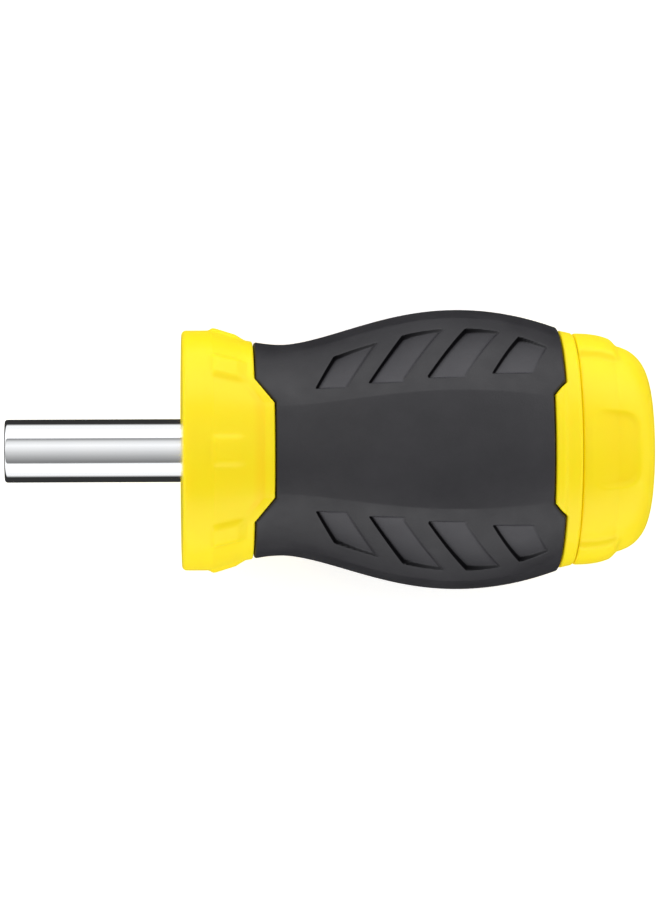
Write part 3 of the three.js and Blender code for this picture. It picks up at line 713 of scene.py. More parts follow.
def rear_surface(along, azimuth, core, grip):
    """The grip's own surface on the tongues, a soft step down, then the tapering ring."""
    on_grip = grip_surface(np.minimum(along, GRIP_END), azimuth, grip, core)
    past = np.clip((along - GRIP_END) / (SEAM - GRIP_END), 0.0, 1.0)
    step = core.rear_step * smooth(GRIP_END - 0.6 * MM, GRIP_END + 0.2 * MM, along)
    return on_grip - step + (core.mouth_radius - core.rear_radius + core.rear_step) * past


def tang_slot(azimuth, core):
    """The hole round the shank's tang: a box, but nowhere inside the shank's hole.

    A box's radius is its half span over the sine of the azimuth, or its half thickness
    over the cosine, whichever is less.
    """
    side = core.tang_half_span / np.maximum(np.abs(np.sin(azimuth)), 0.01)
    flat = core.tang_half_thickness / np.maximum(np.abs(np.cos(azimuth)), 0.01)
    return np.maximum(np.minimum(side, flat), core.shank_hole)


def collar_rows(azimuth, core, grip):
    """Rows from the shaft's hole over the front face, cone and lip to the grip's edge.

    Up to the cone's middle the rows lie straight round the tool. From there they lean
    over to the crease above the lip, and run parallel to the edge of the grip.
    """
    hole = HOLDER_RADIUS + core.gap
    edge = core.edge
    face_end = core.rim_radius - 2.0 * edge
    rows = bend_rows(edge, hole, 0.0, hole + edge, 5, False)
    rows += line_rows(0.0, hole + 2.0 * edge, 0.0, face_end, 8)
    rows += bend_rows(0.0, face_end, 2.0 * edge, core.rim_radius, 8, True)[:-1]

    middle = core.rim_length + 3.0 * MM
    sharp = [core.lug_start, core.rim_length + 1.0 * MM]
    places = list(clustered(2.0 * edge, middle, 0.4 * MM, sharp, 0.2 * MM))
    brim = front_edge(azimuth, core)
    crease = brim - core.lip_length
    places += between(middle, crease, 8)
    places += between(crease, brim - edge, 10)
    rows += [(x, collar_surface(x, azimuth, core, grip)) for x in places]
    top = collar_surface(brim - edge, azimuth, core, grip)
    return rows + bend_rows(brim - edge, top, brim, top - edge, 6, False)[1:]


def rear_rows(azimuth, core, grip):
    """Rows from the grip's rear edge over the ring to the seam."""
    edge = core.edge
    brim = rear_edge(azimuth, core)
    top = rear_surface(brim + edge, azimuth, core, grip)
    rows = bend_rows(brim, top - edge, brim + edge, top, 6, True)
    for x in between(brim + edge, SEAM - edge, 14):
        rows.append((x, rear_surface(x, azimuth, core, grip)))
    mouth = core.mouth_radius
    return rows + bend_rows(SEAM - edge, mouth, SEAM, mouth - edge, 6, False)[1:]


def core_profile(azimuth, core, grip):
    """Rows from the bottom of the shank's hole, out over the core and into the chamber."""
    hole = HOLDER_RADIUS + core.gap
    slot = tang_slot(azimuth, core)
    slot_start = core.slot_end - core.slot_length
    step = HOLDER_TAIL + core.gap
    rows = line_rows(core.slot_end, 0.5 * MM, core.slot_end, slot, 4)
    rows += line_rows(core.slot_end, slot, slot_start, slot, 4)
    rows += [(slot_start, slot), (slot_start, core.shank_hole)]
    rows += line_rows(slot_start - 0.1 * MM, core.shank_hole, step, core.shank_hole, 5)
    rows += [(step, core.shank_hole), (step, hole)]
    rows += line_rows(step - 0.1 * MM, hole, 2.0 * core.edge, hole, 6)
    rows += collar_rows(azimuth, core, grip)

    buried = grip.rubber + core.gap
    front = front_edge(azimuth, core)
    back = rear_edge(azimuth, core)
    for x in [front, *between(front, back, 8)]:
        rows.append((x, grip_radius(x, grip, core) - buried))
    rows += rear_rows(azimuth, core, grip)

    lead = 0.6 * MM
    chamber = core.chamber_radius
    floor = CARRIER_START - core.gap
    groove = chamber + core.groove_depth
    groove_start, groove_end = SEAL_START - 0.15 * MM, SEAL_END + 0.15 * MM
    rows += line_rows(SEAM, core.mouth_radius - 2.0 * core.edge, SEAM, chamber + 2.0 * lead, 4)
    rows += bend_rows(SEAM, chamber + lead, SEAM - lead, chamber, 6, True)
    rows += [(groove_end, chamber), (groove_end, groove)]
    rows += [(groove_start, groove), (groove_start, chamber)]
    rows += line_rows(groove_start - 0.2 * MM, chamber, floor + lead, chamber, 8)
    rows += bend_rows(floor + lead, chamber, floor, chamber - lead, 6, False)
    rows += line_rows(floor, chamber - 2.0 * lead, floor, 0.5 * MM, 8)
    return rows


# ---------------------------------------------------------------- operators


def settings():
    return bpy.context.scene.screwdriver


class DRIVER_OT_core(bpy.types.Operator):
    """Builds the hard yellow core: collar, lugs, wings, tongues, rear ring and chamber"""

    bl_idname = "driver.core"
    bl_label = "Build Core"

    def execute(self, context):
        tool = settings()
        core, grip = tool.core, tool.grip
        half = core.lug_half / grip.collar_radius
        lugs = mirrored([half], TURN / core.lugs)
        corners = mirrored([core.wing_tip, core.wing_root, core.tongue_tip, core.tongue_root], math.pi)
        azimuth = whole_turn(math.radians(1.6), np.concatenate([lugs, corners]), math.radians(1.0))

        def creases(along, around):
            """Painted shade: 1 in the crease before the wings' lip, where the yellow is deepened, and 0
            elsewhere.
            """
            before = front_edge(around, core) - along
            on_wing = smooth(0.3, 0.9, notched(around, 1.0, core.wing_tip, core.wing_root))
            low, high = core.lip_length - 0.2 * MM, core.lip_length + 1.1 * MM
            return on_wing * band(before, low, high, 0.7 * MM)

        piece = poled_piece("handle_core_moulding", core_profile(azimuth, core, grip), azimuth, creases)
        settle(piece, "handle", "yellow_plastic", yellow_plastic(tool.finishes), "handle_core")
        return {"FINISHED"}


def outwards_of(azimuth, grip):
    """0 over the upper and lower panels, rising straight across the recesses to 1."""
    beside = folded(azimuth, math.pi)
    return np.clip((beside - grip.recess_low) / (grip.recess_high - grip.recess_low), 0.0, 1.0)


def lean_at(straight, grip):
    """How far a recess leans there: most at the lean's middle, less on a parabola."""
    return grip.recess_lean * (1.0 - ((straight - grip.lean_middle) / grip.lean_reach) ** 2)


def straightened(along, azimuth, grip):
    """The place along the upper panel's edge from which the lean leads to each point.

    It is found by substitution: each round takes the lean at the place found before.
    """
    outwards = outwards_of(azimuth, grip)
    straight = along
    for _ in range(8):
        straight = along - lean_at(straight, grip) * outwards
    return straight


def recess_spans(grip):
    """Where each recess starts and ends along the upper panel's edge."""
    k = np.arange(grip.recesses)
    starts = grip.recess_start + grip.recess_pitch * k + grip.recess_spread * k * (k - 1)
    return starts, starts + grip.recess_length + grip.recess_growth * k


def recess_shape(along, azimuth, grip, core):
    """How deep the surface lies in the recesses, and painted light and shade for the finish.

    A floor is hollow: it is deepest along the wall nearer the collar, where the wall is
    steep, and runs out towards the panel. With b from 0 at that wall to 1 at the rear
    wall, and o from 0 at the panel to 1 at the far edge, the depth is a quarter, plus half
    of 1 - b squared, plus a quarter of o squared. The shade is painted light and shade: it
    is up to 1 where a floor is painted paler, as if lit, and down to -1 for painted shade in
    the creases at the front wall and the far wall.
    """
    beside = folded(azimuth, math.pi)
    straight = straightened(along, azimuth, grip)
    outwards = outwards_of(azimuth, grip)
    sideways = grip_radius(along, grip, core) * np.sin(beside)
    steep, gentle, soft = 0.3 * MM, 0.7 * MM, 0.2 * MM
    depth = np.zeros(np.broadcast(along, azimuth).shape)
    shade = np.zeros(depth.shape)
    rise = math.radians(1.0)
    far = grip.recess_high - grip.recess_droop * ((straight - grip.lean_middle) / grip.droop_reach) ** 2
    before_far = 1.0 - smooth(far - rise, far, beside)
    far_crease = smooth(far - 1.5 * rise, far - 0.8 * rise, beside)
    for k, (start, end) in enumerate(zip(*recess_spans(grip))):
        side = grip.recess_side + k * grip.recess_shift
        across = smooth(side - soft, side + soft, sideways) * before_far
        backwards = np.clip((straight - start) / (end - start), 0.0, 1.0)
        front_wall = smooth(start - steep / 2.0, start + steep / 2.0, straight)
        back_wall = 1.0 - smooth(end - gentle / 2.0, end + gentle / 2.0, straight)
        inside = front_wall * back_wall * across
        floor = 0.25 + 0.5 * (1.0 - backwards) ** 2 + 0.25 * outwards**2
        depth = np.maximum(depth, grip.recess_depth * floor * inside)
        # Painted shade in the creases along the front and far walls; painted light on the rest of a
        # floor, paler towards the panel
        front_crease = 1.0 - smooth(start + 0.12 * MM, start + 0.4 * MM, straight)
        crease = np.maximum(front_crease, far_crease * (1.0 - 0.6 * backwards)) * (inside > 0.02)
        shade += inside * (1.0 - 0.8 * outwards) * (1.0 - crease) - crease
    return depth, shade


class DRIVER_OT_grip(bpy.types.Operator):
    """Builds the soft grip with its bare panels and slanted recesses"""

    bl_idname = "driver.grip"
    bl_label = "Build Grip"

    def execute(self, context):
        tool = settings()
        core, grip = tool.core, tool.grip
        corners = mirrored([core.wing_tip, core.wing_root, core.tongue_tip, core.tongue_root], math.pi)
        panel_edges = mirrored([grip.panel_half], QUARTER)
        before_recess = grip.recess_low - math.radians(5.0)
        recess_edges = np.arange(before_recess, grip.recess_high, math.radians(2.4))
        recess_edges = mirrored(recess_edges, math.pi)
        edges = np.concatenate([corners, recess_edges, panel_edges])
        azimuth = whole_turn(math.radians(1.5), edges, math.radians(1.2))

        gap = grip.edge_gap
        round_edge = 0.4 * MM
        front = front_edge(azimuth, core) + gap
        back = rear_edge(azimuth, core) - gap
        starts, ends = recess_spans(grip)
        low, high = starts[0] - 0.6 * MM, ends[-1] + 0.5 * MM
        outwards = outwards_of(azimuth, grip)

        # Between low and high the rows lean with the recesses, so that their walls
        # follow rows. Outside, the rows run straight from there to the grip's ends.
        straight = clustered(low, high, 0.7 * MM, [*starts, *ends], 0.32 * MM)
        leant = [u + lean_at(u, grip) * outwards for u in straight]
        first, last = front + round_edge, back - round_edge
        places = [first, *between(first, leant[0], 14), *leant[1:], *between(leant[-1], last, 6)]

        def surface(x):
            """The grip with its recesses."""
            return grip_surface(x, azimuth, grip, core) - recess_shape(x, azimuth, grip, core)[0]

        brink = surface(front)
        crest = surface(front + round_edge)
        rows = bend_rows(front, brink - round_edge, front + round_edge, crest, 6, True)[:-1]
        rows += [(x, surface(x)) for x in places]
        tail = surface(back - round_edge)
        rows += bend_rows(back - round_edge, tail, back, surface(back) - round_edge, 6, False)[1:]
        for x in [back, *between(back, front, INNER_ROWS - 1)]:
            rows.append((x, grip_radius(x, grip, core) - grip.rubber))

        def floors(along, around):
            """The recesses' painted light and shade on the outside, and 0 on the rows of the inside."""
            shade = recess_shape(along, around, grip, core)[1]
            shade[-INNER_ROWS:] = 0.0
            return shade

        piece = ring_piece("grip_cover", rows, azimuth, floors)
        settle(piece, "handle", "grip_rubber", grip_rubber(tool.finishes), "grip_sleeve")
        return {"FINISHED"}


def hexagon_radius(azimuth, flats):
    """Distance to a hexagon's side, which is half the flats over the cosine of the
    angle from the nearest flat. The flats face +Y and -Y."""
    return flats / 2.0 / np.cos(folded(azimuth - QUARTER, TURN / 6.0))


class DRIVER_OT_holder(bpy.types.Operator):
    """Builds the plated bit holder with its socket, snap ring and magnet"""

    bl_idname = "driver.holder"
    bl_label = "Build Bit Holder"

    def execute(self, context):
        tool = settings()
        holder = tool.holder
        corners = np.arange(6) * (TURN / 6.0)
        azimuth = whole_turn(math.radians(2.5), corners, math.radians(1.2))
        hexagon = hexagon_radius(azimuth, holder.flats)
        corner = holder.flats / 2.0 / math.cos(TURN / 12.0)
        edge, mouth = holder.edge, holder.mouth
        face = HOLDER_TIP
        lead = np.maximum(hexagon, corner + 0.02 * MM)
        rim_inner = lead + 0.12 * MM
        rows = [(face, rim_inner)]
        rows += bend_rows(face, HOLDER_RADIUS - edge, face + edge, HOLDER_RADIUS, 7, True)
        rows += line_rows(face + 2 * edge, HOLDER_RADIUS, HOLDER_TAIL, HOLDER_RADIUS, 24)
        rows += [(HOLDER_TAIL, HOLDER_RADIUS - 0.1 * MM), (HOLDER_TAIL, hexagon)]
        groove_start = snap_low.x - COLLAR_X - 0.15 * MM
        groove_end = snap_high.x - COLLAR_X + 0.15 * MM
        groove = corner + holder.groove_depth
        rows += line_rows(HOLDER_TAIL - 0.1 * MM, hexagon, groove_end + 0.02 * MM, hexagon, 8)
        rows += [(groove_end, groove), (groove_start, groove)]
        rows += line_rows(groove_start - 0.02 * MM, hexagon, face + mouth, hexagon, 4)
        rows += line_rows(face + mouth, hexagon, face + 0.04 * MM, lead, 5)
        tube = ring_piece("bit_holder_tube", rows, azimuth)
        settle(tube, "handle", "chrome_plate", chrome_plate(tool.finishes), "holder_sleeve")

        turned = (1.0, 0.2, 0.2)
        steel = worked_steel("bright_steel_finish", tool.finishes.steel, 0.2, 0.34, turned, 0.003 * MM)
        settle(self.snap_ring(), "handle", "bright_steel", steel, "socket_snap_ring")
        settle(self.magnet(), "handle", "magnet", steel, "socket_magnet")
        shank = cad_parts["holder_shank"]
        shank.data.materials.clear()
        shank.data.materials.append(steel)
        return {"FINISHED"}

    def snap_ring(self):
        """A round wire carried along an arc, left open below and closed at both ends."""
        wire = (snap_high.x - snap_low.x) / 2.0
        outer = (snap_high.y - snap_low.y) / 2.0
        middle = (snap_low.x + snap_high.x) / 2.0 - COLLAR_X
        opening = math.radians(14.0)
        arc = np.linspace(math.pi + opening, 3.0 * math.pi - opening, 72)
        swing = np.linspace(0.0, TURN, 14, endpoint=False)
        radius = outer - wire + wire * np.cos(swing)
        along = middle + wire * np.sin(swing)
        points = round_the_tool(along[None, :] * np.ones((len(arc), 1)), radius[None, :], arc[:, None])
        rows, columns = len(arc), len(swing)
        ends = round_the_tool(np.full(2, middle), np.full(2, outer - wire), arc[[0, -1]])
        points, quads, triangles = poled(points.reshape(-1, 3), rows, columns, ends[0], ends[1])
        return solid_mesh("socket_spring_ring", points, quads, triangles)

    def magnet(self):
        """A short cylinder with rounded edges, as a profile from pole to pole."""
        radius = (magnet_high.y - magnet_low.y) / 2.0
        front, back = magnet_low.x - COLLAR_X, magnet_high.x - COLLAR_X
        edge = 0.35 * MM
        rows = line_rows(front, radius * 0.2, front, radius - edge, 4)
        rows += bend_rows(front, radius - edge, front + edge, radius, 6, True)
        rows += bend_rows(back - edge, radius, back, radius - edge, 6, False)
        rows += [(back, radius * 0.6), (back, radius * 0.2)]
        return poled_piece("socket_magnet_disc", rows, whole_turn(math.radians(5.0)))


class DRIVER_OT_cap(bpy.types.Operator):
    """Builds the end cap with its grip pads, thumb recesses and spigot"""

    bl_idname = "driver.cap"
    bl_label = "Build End Cap"

    def execute(self, context):
        tool = settings()
        cap = tool.cap
        thumb_angle = math.asin(cap.thumb_half / CAP_FRONT_RADIUS)
        pads = mirrored([QUARTER - cap.pad_half], math.pi)
        thumbs = mirrored([thumb_angle], math.pi)
        azimuth = whole_turn(math.radians(1.5), np.concatenate([pads, thumbs]), math.radians(1.4))
        rows = self.profile(azimuth, cap)

        def thumb_shade(along, around):
            """Painted shade: deepens the yellow a little in the thumb recesses."""
            return THUMB_SHADE * self.thumb(along, around, cap)

        piece = poled_piece("end_cap_shell", rows, azimuth, thumb_shade)
        settle(piece, "cap", "yellow_plastic", yellow_plastic(tool.finishes), "end_cap")
        return {"FINISHED"}

    def outside(self, along, azimuth, radius, cap):
        """Adds the pads to a base radius and takes the thumb recesses off it."""
        beside = folded(azimuth - QUARTER, math.pi)
        soft = 0.05  # radians
        pad_end = SEAM + cap.shoulder
        on_pad = 1.0 - smooth(cap.pad_half - soft, cap.pad_half + soft, beside)
        on_pad = on_pad * (1.0 - smooth(pad_end - 0.2 * MM, pad_end + 1.2 * MM, along))
        return radius + cap.pad_height * on_pad - cap.thumb_depth * self.thumb(along, azimuth, cap)

    def thumb(self, along, azimuth, cap):
        """0 outside the thumb recesses and 1 on their floors.

        The recess is a rounded rectangle in along and across. Its signed distance sets
        the walls, and its floor sinks slowly from the seam's side.
        """
        start = SEAM + cap.thumb_start
        middle = start + cap.thumb_length / 2.0
        side_radius = 0.94 * CAP_FRONT_RADIUS
        across = folded(azimuth, math.pi) * side_radius
        dx = np.abs(along - middle) - (cap.thumb_length / 2.0 - cap.thumb_corner)
        dy = across - (cap.thumb_half - cap.thumb_corner)
        outside = np.hypot(np.maximum(dx, 0.0), np.maximum(dy, 0.0))
        distance = outside + np.minimum(np.maximum(dx, dy), 0.0) - cap.thumb_corner
        sinking = smooth(start - 0.5 * MM, start + 0.55 * cap.thumb_length, along)
        return sinking * (1.0 - smooth(-1.0 * MM, 0.1 * MM, distance))

    def base(self, along, cap):
        """The cap's radius without pads, in two stretches.

        From the seam to the shoulder it falls on a curve of t to the power 2.8. Behind
        the shoulder the side narrows on with t to the power 1.5, and the dome's corner
        takes it in by the n-th root of 1 - t to the power n.
        """
        shoulder = SEAM + cap.shoulder
        before = np.clip((along - SEAM) / cap.shoulder, 0.0, 1.0)
        behind = np.clip((along - shoulder) / (CAP_END - shoulder), 0.0, 1.0)
        narrowing = cap.taper * before**2.8 + cap.dome_taper * behind**1.5
        side = CAP_FRONT_RADIUS - cap.pad_height - narrowing
        corner = (1.0 - behind**cap.dome_power) ** (1.0 / cap.dome_power)
        return cap.flat_radius + (side - cap.flat_radius) * corner

    def profile(self, azimuth, cap):
        """Rows from the outer pole over the dome to the spigot and the inner pole."""
        front = SEAM + cap.seam_gap
        shoulder = SEAM + cap.shoulder
        corner = shoulder + 0.75 * (CAP_END - shoulder)
        edge = 0.35 * MM
        turn = np.linspace(0.0, QUARTER, 28)[1:]
        rounding = corner + (CAP_END - corner) * np.sin(turn)
        sharp = [SEAM + cap.thumb_start, shoulder + 0.25 * MM]
        side = clustered(front + edge, corner, 0.4 * MM, sharp, 0.4 * MM)
        rows = line_rows(CAP_END, 0.8 * MM, CAP_END, cap.flat_radius, 3)
        for x in np.concatenate([side, rounding])[::-1]:
            rows.append((x, self.outside(x, azimuth, self.base(x, cap), cap)))
        brink = rows[-1][1]
        rows += bend_rows(front + edge, brink, front, brink - edge, 6, False)[1:]
        base_front = CAP_FRONT_RADIUS - cap.pad_height
        spigot = cap.spigot_radius
        inner = spigot - cap.spigot_wall
        rows += line_rows(front, base_front - 1.2 * MM, front, spigot + 0.2 * MM, 4)
        rows += line_rows(front - 0.1 * MM, spigot, SPIGOT_START + edge, spigot, 7)
        rows += bend_rows(SPIGOT_START + edge, spigot, SPIGOT_START, spigot - edge, 5, False)
        rows += bend_rows(SPIGOT_START, inner + edge, SPIGOT_START + edge, inner, 4, False)
        hollow_end = CAP_END - cap.crown
        rows += line_rows(SPIGOT_START + 2 * edge, inner, hollow_end - edge, inner, 10)
        rows += bend_rows(hollow_end - edge, inner, hollow_end, inner - edge, 5, False)
        rows += line_rows(hollow_end, inner - 2 * edge, hollow_end, 0.8 * MM, 5)
        return rows


class DRIVER_OT_seal(bpy.types.Operator):
    """Builds the rubber ring that grips the cap's spigot"""

    bl_idname = "driver.seal"
    bl_label = "Build Seal"

    def execute(self, context):
        tool = settings()
        inner = tool.cap.spigot_radius + 0.15 * MM
        middle = (SEAL_START + SEAL_END) / 2.0
        half_length = (SEAL_END - SEAL_START) / 2.0
        half_depth = (SEAL_RADIUS - inner) / 2.0

        # The profile is an ellipse
        rows = []
        for s in np.linspace(0.0, TURN, 24, endpoint=False):
            rows.append((middle + half_length * math.sin(s), inner + half_depth * (1.0 + math.cos(s))))
        piece = ring_piece("seal_ring", rows, whole_turn(math.radians(2.5)))
        black = moulded_black("seal_rubber_finish", tool.finishes.black, 1500.0, 0.01 * MM)
        settle(piece, "seal", "seal_rubber", black, "cap_seal")
        return {"FINISHED"}


def tip_radius(kind, along, azimuth, end, size):
    """The tip's distance from the bit's axis, for each kind of tip.

    slotted: a blade of the given thickness, half of it over the cosine from its flat.
    square: a square bar, half its side over the cosine from the nearest flat.
    cross: a cone with four flutes, dipping in by the square of a half wave of four
    times the azimuth. The flutes run out behind the cone.
    """
    back = end - along
    if kind == "slotted":
        thickness, width = size
        blade_length, wedge_slope = 2.5 * MM, 0.75
        wedge = thickness / 2.0 + np.maximum(back - blade_length, 0.0) * wedge_slope
        blade = wedge / np.maximum(np.abs(np.cos(azimuth)), 1e-3)
        return np.minimum(blade, width / 2.0 / np.maximum(np.abs(np.sin(azimuth)), 1e-3))
    if kind == "square":
        side = size[0]
        square_length, slope = 5.0 * MM, 0.02
        flat = (side / 2.0 + back * slope) / np.cos(folded(azimuth, QUARTER))
        return np.where(back < square_length, flat, 1.0)
    core_radius, point = size
    cone_length, slope = 2.2 * MM, 0.05
    cone = point + back * (core_radius - point) / cone_length
    flute = 0.5 - 0.5 * np.cos(4.0 * azimuth)
    depth = 0.55 * (1.0 - smooth(2.5 * MM, 6.0 * MM, back))
    return np.minimum(cone, core_radius + back * slope) * (1.0 - depth * flute**2)


BIT_TIPS = {
    "bit_slotted_small": ("slotted", (0.8 * MM, 4.0 * MM)),
    "bit_slotted_large": ("slotted", (1.2 * MM, 5.2 * MM)),
    "bit_cross_small": ("cross", (2.0 * MM, 0.6 * MM)),
    "bit_cross_large": ("cross", (2.5 * MM, 0.9 * MM)),
    "bit_square_small": ("square", (2.2 * MM,)),
    "bit_square_large": ("square", (2.8 * MM,)),
}


class DRIVER_OT_bits(bpy.types.Operator):
    """Builds the six spare bits and finishes the carrier that they stand in"""

    bl_idname = "driver.bits"
    bl_label = "Build Spare Bits"

    def execute(self, context):
        tool = settings()
        ground = (0.3, 1.0, 1.0)
        steel = worked_steel("bit_steel_finish", tool.finishes.bit_steel, 0.28, 0.46, ground, 0.006 * MM)
        for name, (kind, size) in BIT_TIPS.items():
            piece = self.bit(name, kind, size, tool.holder)
            settle(piece, "handle", "bit_steel", steel, name)
        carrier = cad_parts["bit_carrier"]
        carrier.data.materials.clear()
        black = moulded_black("carrier_finish", tool.finishes.black, 4000.0, 0.012 * MM)
        carrier.data.materials.append(black)
        return {"FINISHED"}

    def bit(self, name, kind, size, holder):
        """A radial surface about the bit's own axis, between a pole at each end.

        The radius is the least of the hexagon, a turned outline and the tip, and a groove
        is turned into the hexagon's corners for the snap ring.
        """
        low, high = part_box(name)
        start, end = low.x - COLLAR_X, high.x - COLLAR_X
        centre_y, centre_z = (low.y + high.y) / 2.0, (low.z + high.z) / 2.0
        spoke = math.atan2(centre_z - AXIS_Z, centre_y)
        corner = holder.bit_flats / 2.0 / math.cos(TURN / 12.0)
        azimuth = whole_turn(math.radians(4.0), np.arange(12) * (TURN / 12.0), math.radians(1.5))
        hex_end = start + holder.hex_length
        neck_end = hex_end + holder.neck_length
        bevel_end = start + 0.6 * MM
        groove_start = start + 8.0 * MM
        groove_end = groove_start + 1.6 * MM
        fillet_end = hex_end + 0.9 * MM
        knots = [bevel_end, groove_start, groove_end, hex_end, fillet_end, neck_end]
        along = clustered(start, end, 0.45 * MM, knots, 0.15 * MM)
        full, neck = corner + 0.02 * MM, holder.neck_radius
        places = [start, bevel_end, hex_end, fillet_end, neck_end, end]
        outline = np.interp(along, places, [corner - 0.5 * MM, full, full, neck, neck, 2.4 * MM])
        groove = holder.bit_flats / 2.0 + 0.12 * MM
        outline = np.where(band(along, groove_start, groove_end, 0.2 * MM) > 0.5, groove, outline)
        hexagon = hexagon_radius(azimuth, holder.bit_flats)
        radius = np.minimum(outline[:, None], hexagon[None, :])
        tip = tip_radius(kind, along[:, None], azimuth[None, :], end, size)
        radius = np.where((along > neck_end - 1.0 * MM)[:, None], np.minimum(radius, tip), radius)
        angle_round = azimuth[None, :] - spoke
        y = centre_y + radius * np.sin(angle_round)
        z = centre_z + radius * np.cos(angle_round)
        x = COLLAR_X + np.broadcast_to(along[:, None], radius.shape)
        points = np.stack([x, y, z], axis=-1).reshape(-1, 3)
        poles = [[COLLAR_X + start, centre_y, centre_z], [COLLAR_X + end, centre_y, centre_z]]
        points, quads, triangles = poled(points, *radius.shape, *poles)
        return solid_mesh(name + "_steel", points, quads, triangles)


def area_light(name, place, target, size, power):
    """A soft rectangular lamp at a place, facing a target, unseen by the camera."""
    lamp = bpy.data.lights.new(name, "AREA")
    lamp.shape = "RECTANGLE"
    lamp.size, lamp.size_y = size
    lamp.energy = power
    holder = bpy.data.objects.new(name, lamp)
    bpy.context.scene.collection.objects.link(holder)
    holder.location = place
    direction = target - holder.location
    holder.rotation_euler = direction.to_track_quat("-Z", "Y").to_euler()
    holder.visible_camera = False


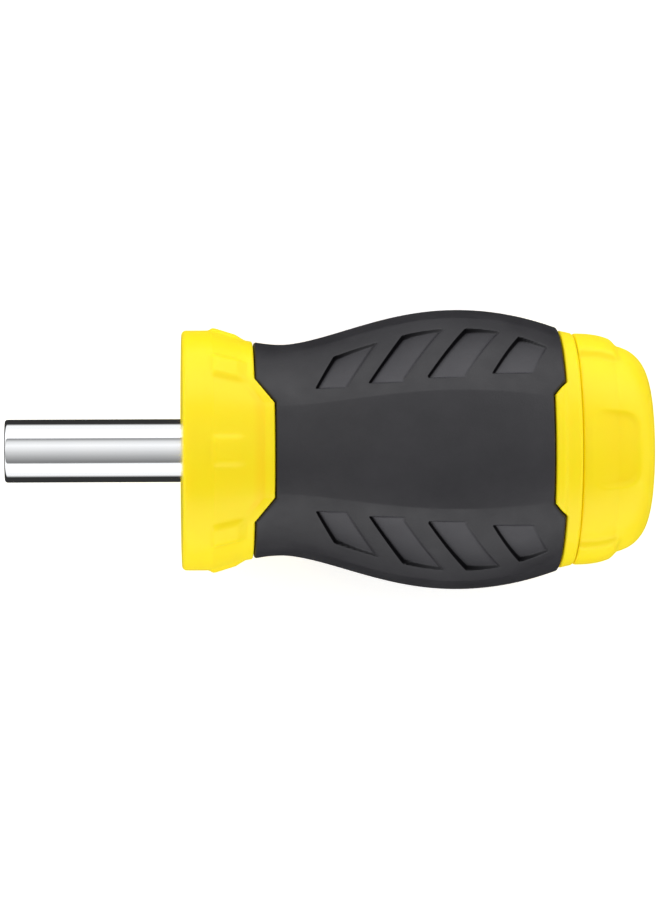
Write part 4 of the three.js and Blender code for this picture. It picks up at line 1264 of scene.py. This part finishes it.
class DRIVER_OT_stage(bpy.types.Operator):
    """Sets the floor, the soft lights and the camera that looks down on the tool"""

    bl_idname = "driver.stage"
    bl_label = "Set Stage"

    def execute(self, context):
        tool = settings()
        stage = tool.stage
        scene = context.scene
        scene.view_settings.view_transform = "Standard"
        self.floor(tool.finishes)
        self.lights(stage, scene)
        self.camera(stage, scene)
        return {"FINISHED"}

    def floor(self, finishes):
        """A pale disc, slightly dished up at its far rim."""
        columns, dished, far = 96, 1.6, 2.5
        azimuth = np.linspace(0.0, TURN, columns, endpoint=False)
        reach = np.linspace(0.02, far, 40)
        rise = 0.25 * smooth(dished, far, reach)
        x = reach[:, None] * np.cos(azimuth)
        y = reach[:, None] * np.sin(azimuth)
        z = np.broadcast_to(rise[:, None], x.shape)
        points = np.stack([x, y, z], axis=-1).reshape(-1, 3)
        quads = grid_faces(len(reach), columns, closed=False)
        ring = np.arange(columns)
        centre = np.stack([np.full(columns, len(points)), ring, np.roll(ring, -1)], axis=-1)
        points = np.vstack([points, [0.0, 0.0, 0.0]])
        mesh = bpy.data.meshes.new("floor")
        mesh.from_pydata(points.tolist(), [], quads.tolist() + centre.tolist())
        mesh.update()
        floor = bpy.data.objects.new("floor", mesh)
        bpy.context.scene.collection.objects.link(floor)
        mesh.materials.append(pale_floor(finishes))
        floor.visible_glossy = False

    def lights(self, stage, scene):
        """A long softbox on each side, in a room with bright walls and a greyer ceiling.

        The room's brightness goes by the angle from straight up, round the tool, which
        is the arc tangent of a direction's Y over its Z.
        """
        target = Vector((0.0, 0.0, AXIS_Z))
        reach, angle_up, size = 0.6, math.radians(67.0), (1.4, 0.36)
        for side in (-1.0, 1.0):
            place = Vector((0.0, side * reach * math.sin(angle_up), AXIS_Z + reach * math.cos(angle_up)))
            power = stage.softbox * (1.0 if side > 0.0 else stage.dimmer)
            area_light("softbox", place, target, size, power)
        world = bpy.data.worlds.new("room")
        scene.world = world
        world.use_nodes = True
        tree = world.node_tree
        background = tree.nodes["Background"]
        background.inputs["Strength"].default_value = stage.room
        direction = tree.nodes.new("ShaderNodeSeparateXYZ")
        tree.links.new(tree.nodes.new("ShaderNodeTexCoord").outputs["Generated"], direction.inputs[0])
        turn = tree.nodes.new("ShaderNodeMath")
        turn.operation = "ARCTAN2"
        tree.links.new(direction.outputs["Y"], turn.inputs[0])
        tree.links.new(direction.outputs["Z"], turn.inputs[1])
        part = tree.nodes.new("ShaderNodeMapRange")
        part.inputs["From Min"].default_value = -math.pi
        part.inputs["From Max"].default_value = math.pi
        tree.links.new(turn.outputs[0], part.inputs["Value"])
        gradient = tree.nodes.new("ShaderNodeValToRGB")
        steps = gradient.color_ramp.elements
        for degrees, grey in ROOM:
            steps.new(0.5 + degrees / 360.0).color = (grey, grey, grey, 1.0)
        steps.remove(steps[0])
        steps.remove(steps[-1])
        tree.links.new(part.outputs["Result"], gradient.inputs["Fac"])
        tree.links.new(gradient.outputs["Color"], background.inputs["Color"])

    def camera(self, stage, scene):
        """Looks down at the tool's axis, standing a little towards the shaft's end."""
        data = bpy.data.cameras.new("camera")
        data.sensor_fit = "HORIZONTAL"
        data.sensor_width = 36.0
        data.lens = data.sensor_width * stage.distance / stage.view_width
        camera = bpy.data.objects.new("camera", data)
        scene.collection.objects.link(camera)
        middle_x = (CAD_BOX[0][0] + CAD_BOX[1][0]) / 2.0 + stage.aim
        lean = stage.distance * math.sin(stage.tilt)
        height = stage.distance * math.cos(stage.tilt)
        camera.location = (middle_x - lean, 0.0, AXIS_Z + height)
        camera.rotation_euler = Euler((0.0, -stage.tilt, 0.0), "XYZ")
        camera.rotation_euler.rotate_axis("Z", stage.roll)
        scene.camera = camera


PIECES = (
    DRIVER_OT_core,
    DRIVER_OT_grip,
    DRIVER_OT_holder,
    DRIVER_OT_cap,
    DRIVER_OT_seal,
    DRIVER_OT_bits,
)


class DRIVER_PT_panel(bpy.types.Panel):
    """Lists what builds the tool."""

    bl_label = "Screwdriver"
    bl_idname = "DRIVER_PT_panel"
    bl_space_type = "VIEW_3D"
    bl_region_type = "UI"
    bl_category = "Screwdriver"

    def draw(self, context):
        for maker in (*PIECES, DRIVER_OT_stage):
            self.layout.operator(maker.bl_idname)


CLASSES = (
    CoreSizes,
    GripSizes,
    CapSizes,
    HolderSizes,
    Finishes,
    StageSizes,
    ScrewdriverSettings,
    *PIECES,
    DRIVER_OT_stage,
    DRIVER_PT_panel,
)


def register():
    for cls in CLASSES:
        bpy.utils.register_class(cls)
    bpy.types.Scene.screwdriver = bpy.props.PointerProperty(type=ScrewdriverSettings)


def unregister():
    del bpy.types.Scene.screwdriver
    for cls in reversed(CLASSES):
        bpy.utils.unregister_class(cls)


def main():
    register()
    bpy.ops.driver.core()
    bpy.ops.driver.grip()
    bpy.ops.driver.holder()
    bpy.ops.driver.cap()
    bpy.ops.driver.seal()
    bpy.ops.driver.bits()
    bpy.ops.driver.stage()


if __name__ == "__main__":
    main()
